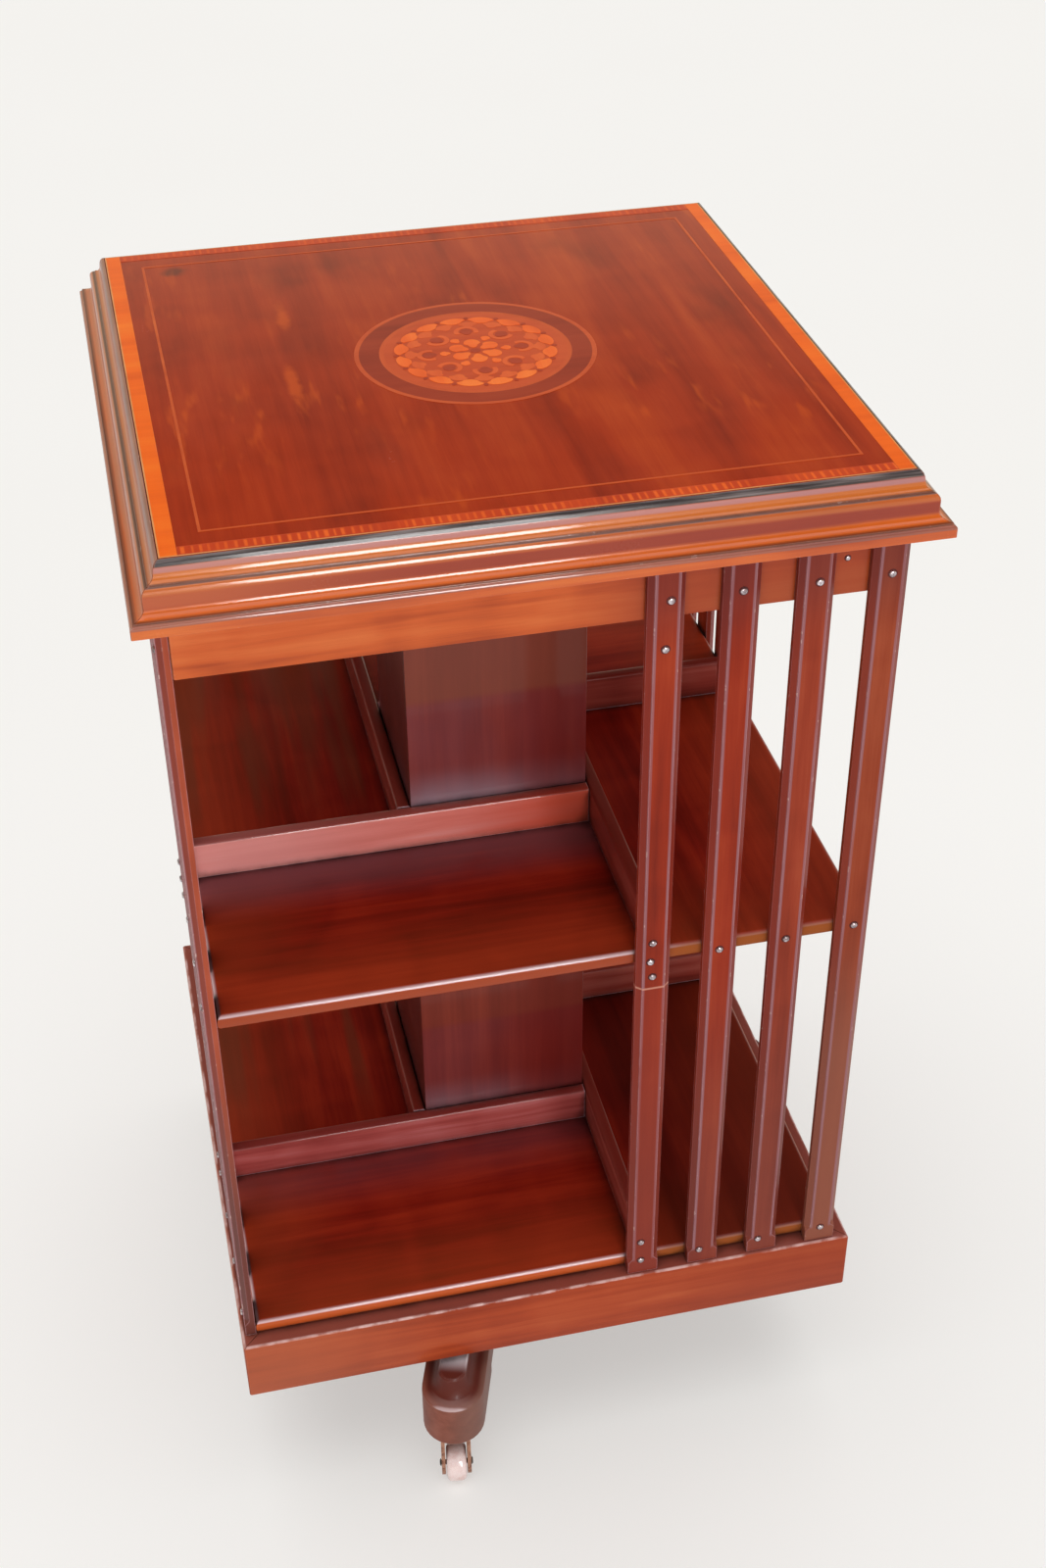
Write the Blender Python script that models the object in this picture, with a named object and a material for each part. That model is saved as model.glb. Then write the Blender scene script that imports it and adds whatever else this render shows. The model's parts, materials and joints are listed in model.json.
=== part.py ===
"""Revolving bookcase: a square case of two tiers that turns on a spindle over a three-armed base on casters.

Metres, +Z up. The origin is on the floor below the spindle, and the face with the long opening on its
left looks towards -Y. The case is a pinwheel: every piece that faces one side comes again on the other
three, a quarter turn apart.
"""

import math

import bmesh
import bpy
from mathutils import Matrix
from mathutils import Vector

# Case: the sides of the square, the clear height of each tier and the boards
CASE_SIDE = 0.458
LOWER_TIER = 0.2972
UPPER_TIER = 0.268
SHELF_THICK = 0.0125
SHELF_NOSE = 0.005
FRIEZE_HEIGHT = 0.0435
FRIEZE_THICK = 0.014
PLINTH_HEIGHT = 0.0565
PLINTH_THICK = 0.016
PLINTH_LEDGE = 0.003
PLINTH_ROUND = 0.0025

# Column and the low rails that stop the books against it
COLUMN_SIDE = 0.1324
COLUMN_WALL = 0.009
RAIL_HEIGHT = 0.030
RAIL_THICK = 0.010
RAIL_ROUND = 0.002

# Slats over the right-hand end of each side
SLAT_COUNT = 4
SLAT_WIDTH = 0.024
SLAT_THICK = 0.008
SLAT_INSET = 0.001
SLAT_CHAMFER = 0.0038
SLAT_CHAMFER_DEPTH = 0.0034
SLAT_QUIRK = 0.0006
SLAT_ARRIS = 0.0004
SLAT_STOP = 0.011
SLAT_STOP_RUN = 0.004

# Top: a flat panel in a rebated frame, whose moulding runs from the panel outwards and down
TOP_OVERHANG = 0.021
PANEL_THICK = 0.019
REBATE_WIDTH = 0.025
OVOLO_OUT = 0.0040
OVOLO_DROP = 0.0070
COVE_OUT = 0.0040
COVE_DROP = 0.0050
QUIRK_DROP = 0.0008
TORUS_OUT = 0.0040
TORUS_DROP = 0.0045
FASCIA_DROP = 0.0080
BED_COVE_OUT = 0.0070
BED_COVE_DROP = 0.0045
BED_QUIRK_DROP = 0.0014
BEAD_OUT = 0.0020
BEAD_DROP = 0.0020
BEAD_FACE = 0.0060

# Base: a hub with three arms, each with a coved top and a round end over its caster
ARM_COUNT = 3
BASE_TURN = math.radians(-18.7)
BASE_CLEARANCE = 0.0051
FOOT_REACH = 0.260
ARM_WIDTH = 0.049
ARM_HEIGHT = 0.0624
ARM_FACE = 0.0415
ARM_TOP_WIDTH = 0.022
ARM_FILLET = 0.0025
ARM_FILLET_RISE = 0.0004
ARM_ARRIS = 0.0015
ARM_RELIEF = 0.010
HUB_SIDES = 2 * ARM_COUNT
HUB_ACROSS = 0.100
HUB_RISE = 0.004
TENON_LENGTH = 0.018
TENON_WIDTH = 0.016
TENON_HEIGHT = 0.030

# Spindle and its bearings
SPINDLE_RADIUS = 0.015
SPINDLE_TIP_RADIUS = 0.010
SPINDLE_TIP_LENGTH = 0.015
SPINDLE_TIP_CHAMFER = 0.005
SPINDLE_TAIL_RADIUS = 0.012
SPINDLE_TAIL_LENGTH = 0.050
FLANGE_RADIUS = 0.038
FLANGE_THICK = 0.005
COLLAR_WIDTH = 0.009
COLLAR_THICK = 0.008
BUSH_WALL = 0.003
BEARING_HEIGHT = 0.026
RUNNING_FIT = 0.0005

# Casters
WHEEL_RADIUS = 0.015
WHEEL_WIDTH = 0.016
WHEEL_ROUND = 0.004
WHEEL_HEADROOM = 0.0120
CASTER_TRAIL = 0.0117
CASTER_TURN = math.radians(10.0)
CHEEK_THICK = 0.0030
CHEEK_GAP = 0.0008
CHEEK_BOSS = 0.0095
CHEEK_ROOT_BACK = 0.0084
CHEEK_ROOT_FRONT = 0.0112
BOSS_START = math.radians(200)
CROWN_RADIUS = 0.0140
CROWN_THICK = 0.0056
CROWN_EDGE = 0.0012
SWIVEL_GAP = 0.0006
PINTLE_RADIUS = 0.004
PLATE_RADIUS = 0.019
PLATE_THICK = 0.0040
AXLE_RADIUS = 0.002
AXLE_HEAD = 0.0012
AXLE_HEAD_RADIUS = 0.0034

# Touching pieces stay this far apart
GAP = 0.0003

SIDES = ("front", "right", "back", "left")
QUARTER = math.pi / 2
ROUND_STEPS = 32
ARC_STEPS = 4
SMOOTH_ANGLE = math.radians(40)
WELD = 0.00001

MAHOGANY = (0.300, 0.060, 0.022)
DARK_MAHOGANY = (0.180, 0.026, 0.012)
BRIGHT_MAHOGANY = (0.420, 0.115, 0.040)
BEECH = (0.420, 0.260, 0.120)
IRON = (0.060, 0.058, 0.055)
BRASS = (0.480, 0.300, 0.110)
CERAMIC = (0.780, 0.700, 0.640)


def finish(name, colour, roughness, metallic=0.0):
    """A material with one Principled BSDF."""
    material = bpy.data.materials.new(name)
    material.use_nodes = True
    shader = material.node_tree.nodes["Principled BSDF"]
    shader.inputs["Base Color"].default_value = (*colour, 1.0)
    shader.inputs["Roughness"].default_value = roughness
    shader.inputs["Metallic"].default_value = metallic
    return material


def place(name, bm, material, parent=None, location=(0, 0, 0), turn=0.0):
    """An object from a closed bmesh, placed under its parent."""
    bmesh.ops.recalc_face_normals(bm, faces=bm.faces)
    mesh = bpy.data.meshes.new(name)
    bm.to_mesh(mesh)
    bm.free()
    mesh.materials.append(material)
    return place_mesh(name, mesh, parent, location, turn)


def place_mesh(name, mesh, parent, location=(0, 0, 0), turn=0.0):
    """An object that shows this mesh, turned about Z and moved under its parent."""
    piece = bpy.data.objects.new(name, mesh)
    bpy.context.scene.collection.objects.link(piece)
    piece.parent = parent
    piece.location = location
    piece.rotation_euler.z = turn
    return piece


def axis_frame(name, parent=None, location=(0, 0, 0), turn=0.0):
    """An empty that carries a moving group, with its origin on the joint's axis."""
    empty = bpy.data.objects.new(name, None)
    bpy.context.scene.collection.objects.link(empty)
    empty.parent = parent
    empty.location = location
    empty.rotation_euler.z = turn
    return empty


def shade_round(piece):
    """Smooth shading, broken at the arrises."""
    piece.data.shade_smooth()
    piece.data.set_sharp_from_angle(angle=SMOOTH_ANGLE)


def combine(target, tool, operation):
    """Joins the tool to the target or cuts it out, and removes the tool."""
    modifier = target.modifiers.new(operation.lower(), "BOOLEAN")
    modifier.operation = operation
    modifier.solver = "EXACT"
    modifier.object = tool
    bpy.context.view_layer.update()
    graph = bpy.context.evaluated_depsgraph_get()
    shape = bpy.data.meshes.new_from_object(target.evaluated_get(graph))
    target.modifiers.clear()
    target.data = shape
    bpy.data.objects.remove(tool)


def loft(rings, closed=False):
    """A bmesh of faces between rings of points. Its ends are capped, or joined when the run is closed."""
    bm = bmesh.new()
    rows = [[bm.verts.new(point) for point in ring] for ring in rings]
    pairs = list(zip(rows, rows[1:]))
    if closed:
        pairs.append((rows[-1], rows[0]))
    for row, following in pairs:
        for i in range(len(row)):
            j = (i + 1) % len(row)
            bm.faces.new((row[i], row[j], following[j], following[i]))
    if not closed:
        bm.faces.new(rows[0])
        bm.faces.new(rows[-1])
    return bm


def turned(profile, steps=ROUND_STEPS):
    """A bmesh of a closed (radius, height) outline spun about Z."""
    bm = bmesh.new()
    points = [bm.verts.new((radius, 0.0, height)) for radius, height in profile]
    edges = [bm.edges.new((points[i - 1], points[i])) for i in range(len(points))]
    bmesh.ops.spin(
        bm, geom=points + edges, axis=(0, 0, 1), cent=(0, 0, 0), angle=math.tau, steps=steps, use_merge=True
    )
    bmesh.ops.remove_doubles(bm, verts=bm.verts, dist=WELD)
    flat = [edge for edge in bm.edges if not edge.link_faces]
    bmesh.ops.delete(bm, geom=flat, context="EDGES")
    return bm


def prism(outline, height):
    """A bmesh of an (x, y) outline raised by a height from z = 0."""
    low = [(x, y, 0.0) for x, y in outline]
    high = [(x, y, height) for x, y in outline]
    return loft([low, high])


def box(x, y, z):
    """A bmesh of a block between three (low, high) pairs."""
    outline = [(x[0], y[0]), (x[1], y[0]), (x[1], y[1]), (x[0], y[1])]
    bm = prism(outline, z[1] - z[0])
    bmesh.ops.translate(bm, verts=bm.verts, vec=(0, 0, z[0]))
    return bm


def curve(start, end, bulge_first):
    """Points of a quarter ellipse after start, up to end: along the first axis first, or the second."""
    points = []
    for i in range(1, ARC_STEPS + 1):
        angle = QUARTER * i / ARC_STEPS
        early, late = math.sin(angle), 1.0 - math.cos(angle)
        first, second = (early, late) if bulge_first else (late, early)
        points.append((start[0] + first * (end[0] - start[0]), start[1] + second * (end[1] - start[1])))
    return points


def mitred(section):
    """A bmesh of a length along the front with 45 degree ends. The section is (distance out, height)."""
    ends = []
    for side in (-1, 1):
        ends.append([(side * (out - GAP / 2), -out, height) for out, height in section])
    return loft(ends)


def square_ring(section):
    """A bmesh of a square frame in one piece round the spindle. The section is (distance out, height)."""
    corners = ((-1, -1), (1, -1), (1, 1), (-1, 1))
    return loft([[(a * out, b * out, height) for out, height in section] for a, b in corners], closed=True)


def four_sides(name, bm, material, parent):
    """A piece for the front and its three copies, each a quarter turn on."""
    pieces = [place(f"{name}_{SIDES[0]}", bm, material, parent)]
    for k in range(1, len(SIDES)):
        pieces.append(place_mesh(f"{name}_{SIDES[k]}", pieces[0].data, parent, turn=k * QUARTER))
    return pieces


# Heights, from the floor up
CASTER_HEIGHT = 2 * WHEEL_RADIUS + WHEEL_HEADROOM + CROWN_THICK + SWIVEL_GAP + PLATE_THICK + GAP
ARM_TOP = CASTER_HEIGHT + ARM_HEIGHT
PLINTH_BOTTOM = ARM_TOP + BASE_CLEARANCE
PLINTH_TOP = PLINTH_BOTTOM + PLINTH_HEIGHT
BOTTOM_SHELF = PLINTH_TOP + GAP
MIDDLE_SHELF = BOTTOM_SHELF + SHELF_THICK + LOWER_TIER
FRIEZE_BOTTOM = MIDDLE_SHELF + SHELF_THICK + UPPER_TIER
BED = FRIEZE_BOTTOM + FRIEZE_HEIGHT

# Distances from the spindle
CASE_FACE = CASE_SIDE / 2
SLAT_FACE = CASE_FACE + SLAT_THICK
PLINTH_FACE = SLAT_FACE + PLINTH_LEDGE
COLUMN_FACE = COLUMN_SIDE / 2
RAIL_FACE = COLUMN_FACE + GAP


def moulding_profile():
    """The top's moulding as (out, drop) points from the panel's edge to the lower arris."""
    points = [(0.0, 0.0)]

    def run(out, drop, bulge_first=None):
        start = points[-1]
        end = (start[0] + out, start[1] + drop)
        points.extend([end] if bulge_first is None else curve(start, end, bulge_first))

    run(OVOLO_OUT, OVOLO_DROP, bulge_first=True)
    run(COVE_OUT, COVE_DROP, bulge_first=False)
    run(0.0, QUIRK_DROP)
    run(TORUS_OUT, TORUS_DROP, bulge_first=True)
    run(0.0, FASCIA_DROP)
    run(BED_COVE_OUT, BED_COVE_DROP, bulge_first=False)
    run(0.0, BED_QUIRK_DROP)
    run(BEAD_OUT, BEAD_DROP, bulge_first=True)
    run(0.0, BEAD_FACE)
    return points


MOULDING = moulding_profile()
TOP = BED + MOULDING[-1][1]
PANEL_BOTTOM = TOP - PANEL_THICK
PANEL_FACE = CASE_FACE + TOP_OVERHANG - MOULDING[-1][0] - GAP


def rounded_board(inner, outer, low, high, radius):
    """The section of a board whose outer edge is rounded above and below."""
    section = [(inner, high), (outer - radius, high)]
    section += curve(section[-1], (outer, high - radius), bulge_first=True)
    section.append((outer, low + radius))
    section += curve(section[-1], (outer - radius, low), bulge_first=False)
    section.append((inner, low))
    return section


def build_top(parent, wood):
    """The veneered panel and the four mitred lengths of the moulded frame that carries it."""
    half = (-PANEL_FACE, PANEL_FACE)
    place("top_panel", box(half, half, (PANEL_BOTTOM, TOP)), wood, parent)
    inner = PANEL_FACE + GAP
    section = [(inner + out, TOP - drop) for out, drop in MOULDING]
    section.append((PANEL_FACE - REBATE_WIDTH, BED))
    section.append((PANEL_FACE - REBATE_WIDTH, PANEL_BOTTOM - GAP))
    section.append((inner, PANEL_BOTTOM - GAP))
    four_sides("top_moulding", mitred(section), wood, parent)


def build_frieze(parent, wood):
    """Four mitred rails under the top."""
    outer = CASE_FACE - GAP
    inner = outer - FRIEZE_THICK
    section = [(inner, FRIEZE_BOTTOM), (outer, FRIEZE_BOTTOM), (outer, BED - GAP), (inner, BED - GAP)]
    four_sides("frieze_rail", mitred(section), wood, parent)


def build_plinth(parent, wood):
    """Four mitred rails that carry the bottom shelf and stand a little proud of the slats."""
    inner = PLINTH_FACE - PLINTH_THICK
    section = rounded_board(inner, PLINTH_FACE, PLINTH_BOTTOM, PLINTH_TOP, PLINTH_ROUND)
    four_sides("plinth_rail", mitred(section), wood, parent)


def build_shelves(parent, wood):
    """Two square boards with rounded edges, each with a hole for the column."""
    inner = COLUMN_FACE + GAP
    outer = CASE_FACE - GAP
    nose = min(SHELF_NOSE, SHELF_THICK / 2 - GAP)
    for name, low in (("bottom_shelf", BOTTOM_SHELF), ("middle_shelf", MIDDLE_SHELF)):
        section = rounded_board(inner, outer, low, low + SHELF_THICK, nose)
        place(name, square_ring(section), wood, parent)


def build_column(parent, wood):
    """The hollow square column that ties the shelves and the top."""
    inner = COLUMN_FACE - COLUMN_WALL
    low, high = BOTTOM_SHELF, PANEL_BOTTOM - GAP
    section = [(inner, low), (COLUMN_FACE, low), (COLUMN_FACE, high), (inner, high)]
    place("column", square_ring(section), wood, parent)


def build_rails(parent, wood):
    """The low rails of each tier. Each starts behind a slat and butts against the next one."""
    ends = (-(CASE_FACE - GAP), RAIL_FACE - GAP)
    for name, shelf in (("lower_rail", BOTTOM_SHELF), ("upper_rail", MIDDLE_SHELF)):
        low = shelf + SHELF_THICK + GAP
        high = low + RAIL_HEIGHT
        near, far = -(RAIL_FACE + RAIL_THICK), -RAIL_FACE
        section = [(near, low), (near, high - RAIL_ROUND)]
        section += curve(section[-1], (near + RAIL_ROUND, high), bulge_first=False)
        section.append((far - RAIL_ROUND, high))
        section += curve(section[-1], (far, high - RAIL_ROUND), bulge_first=True)
        section.append((far, low))
        four_sides(name, loft([[(x, y, z) for y, z in section] for x in ends]), wood, parent)


def slat_section(chamfer, depth, quirk, height):
    """A slat's section with its front towards -Y, at one height."""
    half = SLAT_WIDTH / 2
    shoulder = SLAT_THICK - quirk
    side = [(half, 0.0), (half, depth - shoulder), (half - chamfer, -shoulder), (half - chamfer, -SLAT_THICK)]
    outline = side + [(-x, y) for x, y in reversed(side)]
    return [(x, y, height) for x, y in outline]


def build_slats(parent, wood):
    """Four moulded slats on each side, whose chamfers stop above a square foot on the plinth."""
    low, high = PLINTH_TOP + GAP, BED - GAP
    square = (SLAT_ARRIS, SLAT_ARRIS, SLAT_ARRIS / 2)
    moulded = (SLAT_CHAMFER, SLAT_CHAMFER_DEPTH, SLAT_QUIRK)
    rings = [
        slat_section(*square, low),
        slat_section(*square, low + SLAT_STOP),
        slat_section(*moulded, low + SLAT_STOP + SLAT_STOP_RUN),
        slat_section(*moulded, high),
    ]
    first = RAIL_FACE + RAIL_THICK / 2
    last = CASE_FACE - SLAT_INSET - SLAT_WIDTH / 2
    pitch = (last - first) / (SLAT_COUNT - 1)
    shape = None
    for k, side in enumerate(SIDES):
        turn = Matrix.Rotation(k * QUARTER, 3, "Z")
        for i in range(SLAT_COUNT):
            at = turn @ Vector((first + i * pitch, -CASE_FACE, 0.0))
            name = f"slat_{side}_{i + 1}"
            if shape is None:
                shape = place(name, loft(rings), wood, parent, at, k * QUARTER).data
            else:
                place_mesh(name, shape, parent, at, k * QUARTER)


def arm_profile():
    """The arm's (half width, height) from its underside to its top: face, fillet, cove and flat."""
    half, top_half = ARM_WIDTH / 2, ARM_TOP_WIDTH / 2
    face_top = CASTER_HEIGHT + ARM_FACE
    cove_foot = (half - ARM_FILLET, face_top + ARM_ARRIS + ARM_FILLET_RISE)
    points = [(half - ARM_ARRIS, CASTER_HEIGHT), (half, CASTER_HEIGHT + ARM_ARRIS), (half, face_top)]
    points += curve(points[-1], (half - ARM_ARRIS, face_top + ARM_ARRIS), bulge_first=False)
    points.append(cove_foot)
    points += curve(cove_foot, (top_half, ARM_TOP - ARM_ARRIS), bulge_first=True)
    points.append((top_half - ARM_ARRIS, ARM_TOP))
    return points


def build_base(parent, wood):
    """The hexagonal hub and the arms tenoned into three of its faces."""
    apothem = HUB_ACROSS / 2
    corner = apothem / math.cos(math.pi / HUB_SIDES)
    hub_low = CASTER_HEIGHT + HUB_RISE
    hub_outline = []
    for i in range(HUB_SIDES):
        angle = BASE_TURN + (i + 0.5) * math.tau / HUB_SIDES - QUARTER
        hub_outline.append((corner * math.cos(angle), corner * math.sin(angle)))
    hub = place("base_hub", prism(hub_outline, ARM_TOP - hub_low), wood, parent, (0, 0, hub_low))
    bore_radius = SPINDLE_TAIL_RADIUS + GAP
    bore = turned([(0.0, -GAP), (bore_radius, -GAP), (bore_radius, ARM_HEIGHT), (0.0, ARM_HEIGHT)])
    combine(hub, place("bore", bore, wood, parent, (0, 0, hub_low)), "DIFFERENCE")

    start = apothem + GAP
    tenon_mid = hub_low + (ARM_TOP - hub_low) / 2
    tenon_z = (tenon_mid - TENON_HEIGHT / 2, tenon_mid + TENON_HEIGHT / 2)
    mortise_z = (tenon_z[0] - GAP, tenon_z[1] + GAP)
    tenon_y = (-TENON_WIDTH / 2, TENON_WIDTH / 2)
    mortise_y = (tenon_y[0] - GAP, tenon_y[1] + GAP)
    mortise_x = (start - TENON_LENGTH - GAP, start + TENON_LENGTH)
    round_end = [-QUARTER + math.pi * i / (ROUND_STEPS // 2) for i in range(ROUND_STEPS // 2 + 1)]
    relief_x = (apothem + ARM_WIDTH / 2, FOOT_REACH - ARM_WIDTH)
    relief_y = (-ARM_WIDTH, ARM_WIDTH)
    relief_z = (CASTER_HEIGHT - ARM_RELIEF, CASTER_HEIGHT + ARM_RELIEF)
    for k in range(ARM_COUNT):
        turn = BASE_TURN - QUARTER + k * math.tau / ARM_COUNT
        rings = []
        for half, height in arm_profile():
            ring = [(start, -half, height)]
            for angle in round_end:
                ring.append((FOOT_REACH + half * math.cos(angle), half * math.sin(angle), height))
            ring.append((start, half, height))
            rings.append(ring)
        arm = place(f"base_arm_{k + 1}", loft(rings), wood, parent, turn=turn)
        tenon = box((start - TENON_LENGTH, start + TENON_LENGTH), tenon_y, tenon_z)
        combine(arm, place("tenon", tenon, wood, parent, turn=turn), "UNION")
        combine(arm, place("relief", box(relief_x, relief_y, relief_z), wood, parent, turn=turn), "DIFFERENCE")
        shade_round(arm)
        mortise = place("mortise", box(mortise_x, mortise_y, mortise_z), wood, parent, turn=turn)
        combine(hub, mortise, "DIFFERENCE")


def build_spindle(base, case, iron, brass, wood):
    """The fixed spindle, and the bush, block and pivot block that turn on it inside the column."""
    block_low = BOTTOM_SHELF + GAP
    block_high = block_low + BEARING_HEIGHT
    pivot_high = PANEL_BOTTOM - GAP
    pivot_low = pivot_high - BEARING_HEIGHT
    collar_high = block_low - GAP
    collar = SPINDLE_RADIUS + COLLAR_WIDTH
    tip_foot = pivot_low - RUNNING_FIT
    tip = tip_foot + SPINDLE_TIP_LENGTH
    seat = ARM_TOP + GAP
    spindle = turned([
        (0.0, seat - SPINDLE_TAIL_LENGTH),
        (SPINDLE_TAIL_RADIUS, seat - SPINDLE_TAIL_LENGTH),
        (SPINDLE_TAIL_RADIUS, seat),
        (FLANGE_RADIUS, seat),
        (FLANGE_RADIUS, seat + FLANGE_THICK),
        (collar, seat + FLANGE_THICK),
        (SPINDLE_RADIUS, seat + FLANGE_THICK + COLLAR_WIDTH),
        (SPINDLE_RADIUS, collar_high - COLLAR_THICK),
        (collar, collar_high - COLLAR_THICK),
        (collar, collar_high),
        (SPINDLE_RADIUS, collar_high),
        (SPINDLE_RADIUS, tip_foot),
        (SPINDLE_TIP_RADIUS, tip_foot),
        (SPINDLE_TIP_RADIUS, tip - SPINDLE_TIP_CHAMFER),
        (SPINDLE_TIP_RADIUS - SPINDLE_TIP_CHAMFER, tip),
        (0.0, tip),
    ])
    shade_round(place("spindle", spindle, iron, base))

    bush_inner = SPINDLE_RADIUS + RUNNING_FIT
    bush_outer = bush_inner + BUSH_WALL
    bush = [(bush_inner, block_low), (bush_outer, block_low), (bush_outer, block_high), (bush_inner, block_high)]
    shade_round(place("spindle_bush", turned(bush), brass, case))

    half = (-(COLUMN_FACE - COLUMN_WALL - GAP), COLUMN_FACE - COLUMN_WALL - GAP)
    lower = place("lower_bearing_block", box(half, half, (block_low, block_high)), wood, case)
    seat_radius = bush_outer + GAP
    seat_z = (block_low - BEARING_HEIGHT, block_high + BEARING_HEIGHT)
    hole = [(0.0, seat_z[0]), (seat_radius, seat_z[0]), (seat_radius, seat_z[1]), (0.0, seat_z[1])]
    combine(lower, place("bush_hole", turned(hole), brass, case), "DIFFERENCE")

    upper = place("pivot_block", box(half, half, (pivot_low, pivot_high)), wood, case)
    cup_radius = SPINDLE_TIP_RADIUS + RUNNING_FIT
    cup_z = (pivot_low - BEARING_HEIGHT, tip + RUNNING_FIT)
    cup = [(0.0, cup_z[0]), (cup_radius, cup_z[0]), (cup_radius, cup_z[1]), (0.0, cup_z[1])]
    combine(upper, place("pivot_cup", turned(cup), iron, case), "DIFFERENCE")


def cheek_outline(crown_low):
    """One side of a horn as (along, height): from under the crown round the axle's boss and back."""
    outline = [(-CHEEK_ROOT_BACK, crown_low + CROWN_THICK / 2)]
    for i in range(ROUND_STEPS // 2 + 1):
        angle = BOSS_START + math.pi * i / (ROUND_STEPS // 2)
        along = CASTER_TRAIL + CHEEK_BOSS * math.cos(angle)
        outline.append((along, WHEEL_RADIUS + CHEEK_BOSS * math.sin(angle)))
    outline.append((CHEEK_ROOT_FRONT, crown_low + CROWN_THICK / 2))
    return outline


def build_horn(name, parent, brass):
    """The crown with its pintle and the two cheeks that hold the axle."""
    crown_low = 2 * WHEEL_RADIUS + WHEEL_HEADROOM
    crown_high = crown_low + CROWN_THICK
    pintle = crown_high + SWIVEL_GAP + PLATE_THICK - GAP
    crown = turned([
        (0.0, crown_low),
        (CROWN_RADIUS, crown_low),
        (CROWN_RADIUS, crown_high - CROWN_EDGE),
        (CROWN_RADIUS - CROWN_EDGE, crown_high),
        (PINTLE_RADIUS, crown_high),
        (PINTLE_RADIUS, pintle),
        (0.0, pintle),
    ])
    horn = place(name, crown, brass, parent)
    inner = WHEEL_WIDTH / 2 + CHEEK_GAP
    bore = AXLE_RADIUS + GAP
    outline = cheek_outline(crown_low)
    for side in (-1, 1):
        faces = [side * inner, side * (inner + CHEEK_THICK)]
        cheek = loft([[(along, y, height) for along, height in outline] for y in faces])
        combine(horn, place("cheek", cheek, brass, parent), "UNION")
    drill = turned([(0.0, -WHEEL_WIDTH), (bore, -WHEEL_WIDTH), (bore, WHEEL_WIDTH), (0.0, WHEEL_WIDTH)])
    hole = place("axle_hole", drill, brass, parent, (CASTER_TRAIL, 0, WHEEL_RADIUS))
    hole.rotation_euler.x = QUARTER
    combine(horn, hole, "DIFFERENCE")
    shade_round(horn)


def wheel_profile():
    """The wheel's (radius, across) outline: bore, flat sides, rounded shoulders and tread."""
    bore = AXLE_RADIUS + RUNNING_FIT
    half = WHEEL_WIDTH / 2
    profile = [(bore, -half), (WHEEL_RADIUS - WHEEL_ROUND, -half)]
    profile += curve(profile[-1], (WHEEL_RADIUS, WHEEL_ROUND - half), bulge_first=True)
    profile.append((WHEEL_RADIUS, half - WHEEL_ROUND))
    profile += curve(profile[-1], (WHEEL_RADIUS - WHEEL_ROUND, half), bulge_first=False)
    profile.append((bore, half))
    return profile


def axle_profile():
    """The riveted axle's (radius, along) outline with a head past each cheek."""
    shank = WHEEL_WIDTH / 2 + CHEEK_GAP + CHEEK_THICK + GAP
    head = shank + AXLE_HEAD
    half = [(AXLE_RADIUS, shank), (AXLE_HEAD_RADIUS, shank), (AXLE_RADIUS, head), (0.0, head)]
    return [(radius, -along) for radius, along in reversed(half)] + half


def build_casters(base, iron, brass, ceramic):
    """A plate under each foot, a horn that swivels in it and a wheel that turns on the horn's axle."""
    plate_high = CASTER_HEIGHT - GAP
    plate_low = plate_high - PLATE_THICK
    bore = PINTLE_RADIUS + GAP
    plate = [(bore, plate_low), (PLATE_RADIUS, plate_low), (PLATE_RADIUS, plate_high), (bore, plate_high)]
    for k in range(ARM_COUNT):
        number = k + 1
        angle = BASE_TURN - QUARTER + k * math.tau / ARM_COUNT
        foot = (FOOT_REACH * math.cos(angle), FOOT_REACH * math.sin(angle), 0.0)
        shade_round(place(f"caster_plate_{number}", turned(plate), brass, base, foot))
        swivel = axis_frame(f"caster_swivel_{number}", base, foot, angle + CASTER_TURN)
        build_horn(f"caster_horn_{number}", swivel, brass)
        hub = (CASTER_TRAIL, 0.0, WHEEL_RADIUS)
        axle = place(f"caster_axle_{number}", turned(axle_profile()), iron, swivel, hub)
        wheel = place(f"caster_wheel_{number}", turned(wheel_profile()), ceramic, swivel, hub)
        for piece in (axle, wheel):
            piece.rotation_euler.x = QUARTER
            shade_round(piece)


def main():
    for old in list(bpy.data.objects):
        bpy.data.objects.remove(old)
    polished = finish("polished_mahogany", MAHOGANY, 0.25)
    bright = finish("moulding_mahogany", BRIGHT_MAHOGANY, 0.25)
    shelf_wood = finish("shelf_mahogany", DARK_MAHOGANY, 0.30)
    base_wood = finish("base_mahogany", DARK_MAHOGANY, 0.40)
    bearing_wood = finish("bearing_beech", BEECH, 0.60)
    iron = finish("spindle_iron", IRON, 0.50, 1.0)
    brass = finish("caster_brass", BRASS, 0.40, 1.0)
    ceramic = finish("wheel_ceramic", CERAMIC, 0.20)

    base = axis_frame("base_frame")
    case = axis_frame("case_turntable")
    build_base(base, base_wood)
    build_casters(base, iron, brass, ceramic)
    build_spindle(base, case, iron, brass, bearing_wood)
    build_plinth(case, polished)
    build_shelves(case, shelf_wood)
    build_column(case, polished)
    build_rails(case, polished)
    build_slats(case, polished)
    build_frieze(case, bright)
    build_top(case, bright)


main()
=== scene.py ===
"""Looks of the revolving bookcase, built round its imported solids.

Lengths are in metres, with +Z up and the front towards -Y, as in the solids. The boards, mouldings and
casters are the solids themselves with softened arrises and new finishes. The inlay of the top and the screws
are modelled here.
"""

import json
import logging
import math
from collections.abc import Callable, Iterator
from contextlib import contextmanager
from dataclasses import dataclass, replace
from enum import Enum
from typing import Self

import bmesh
import bpy
from mathutils import Matrix, Vector

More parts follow.
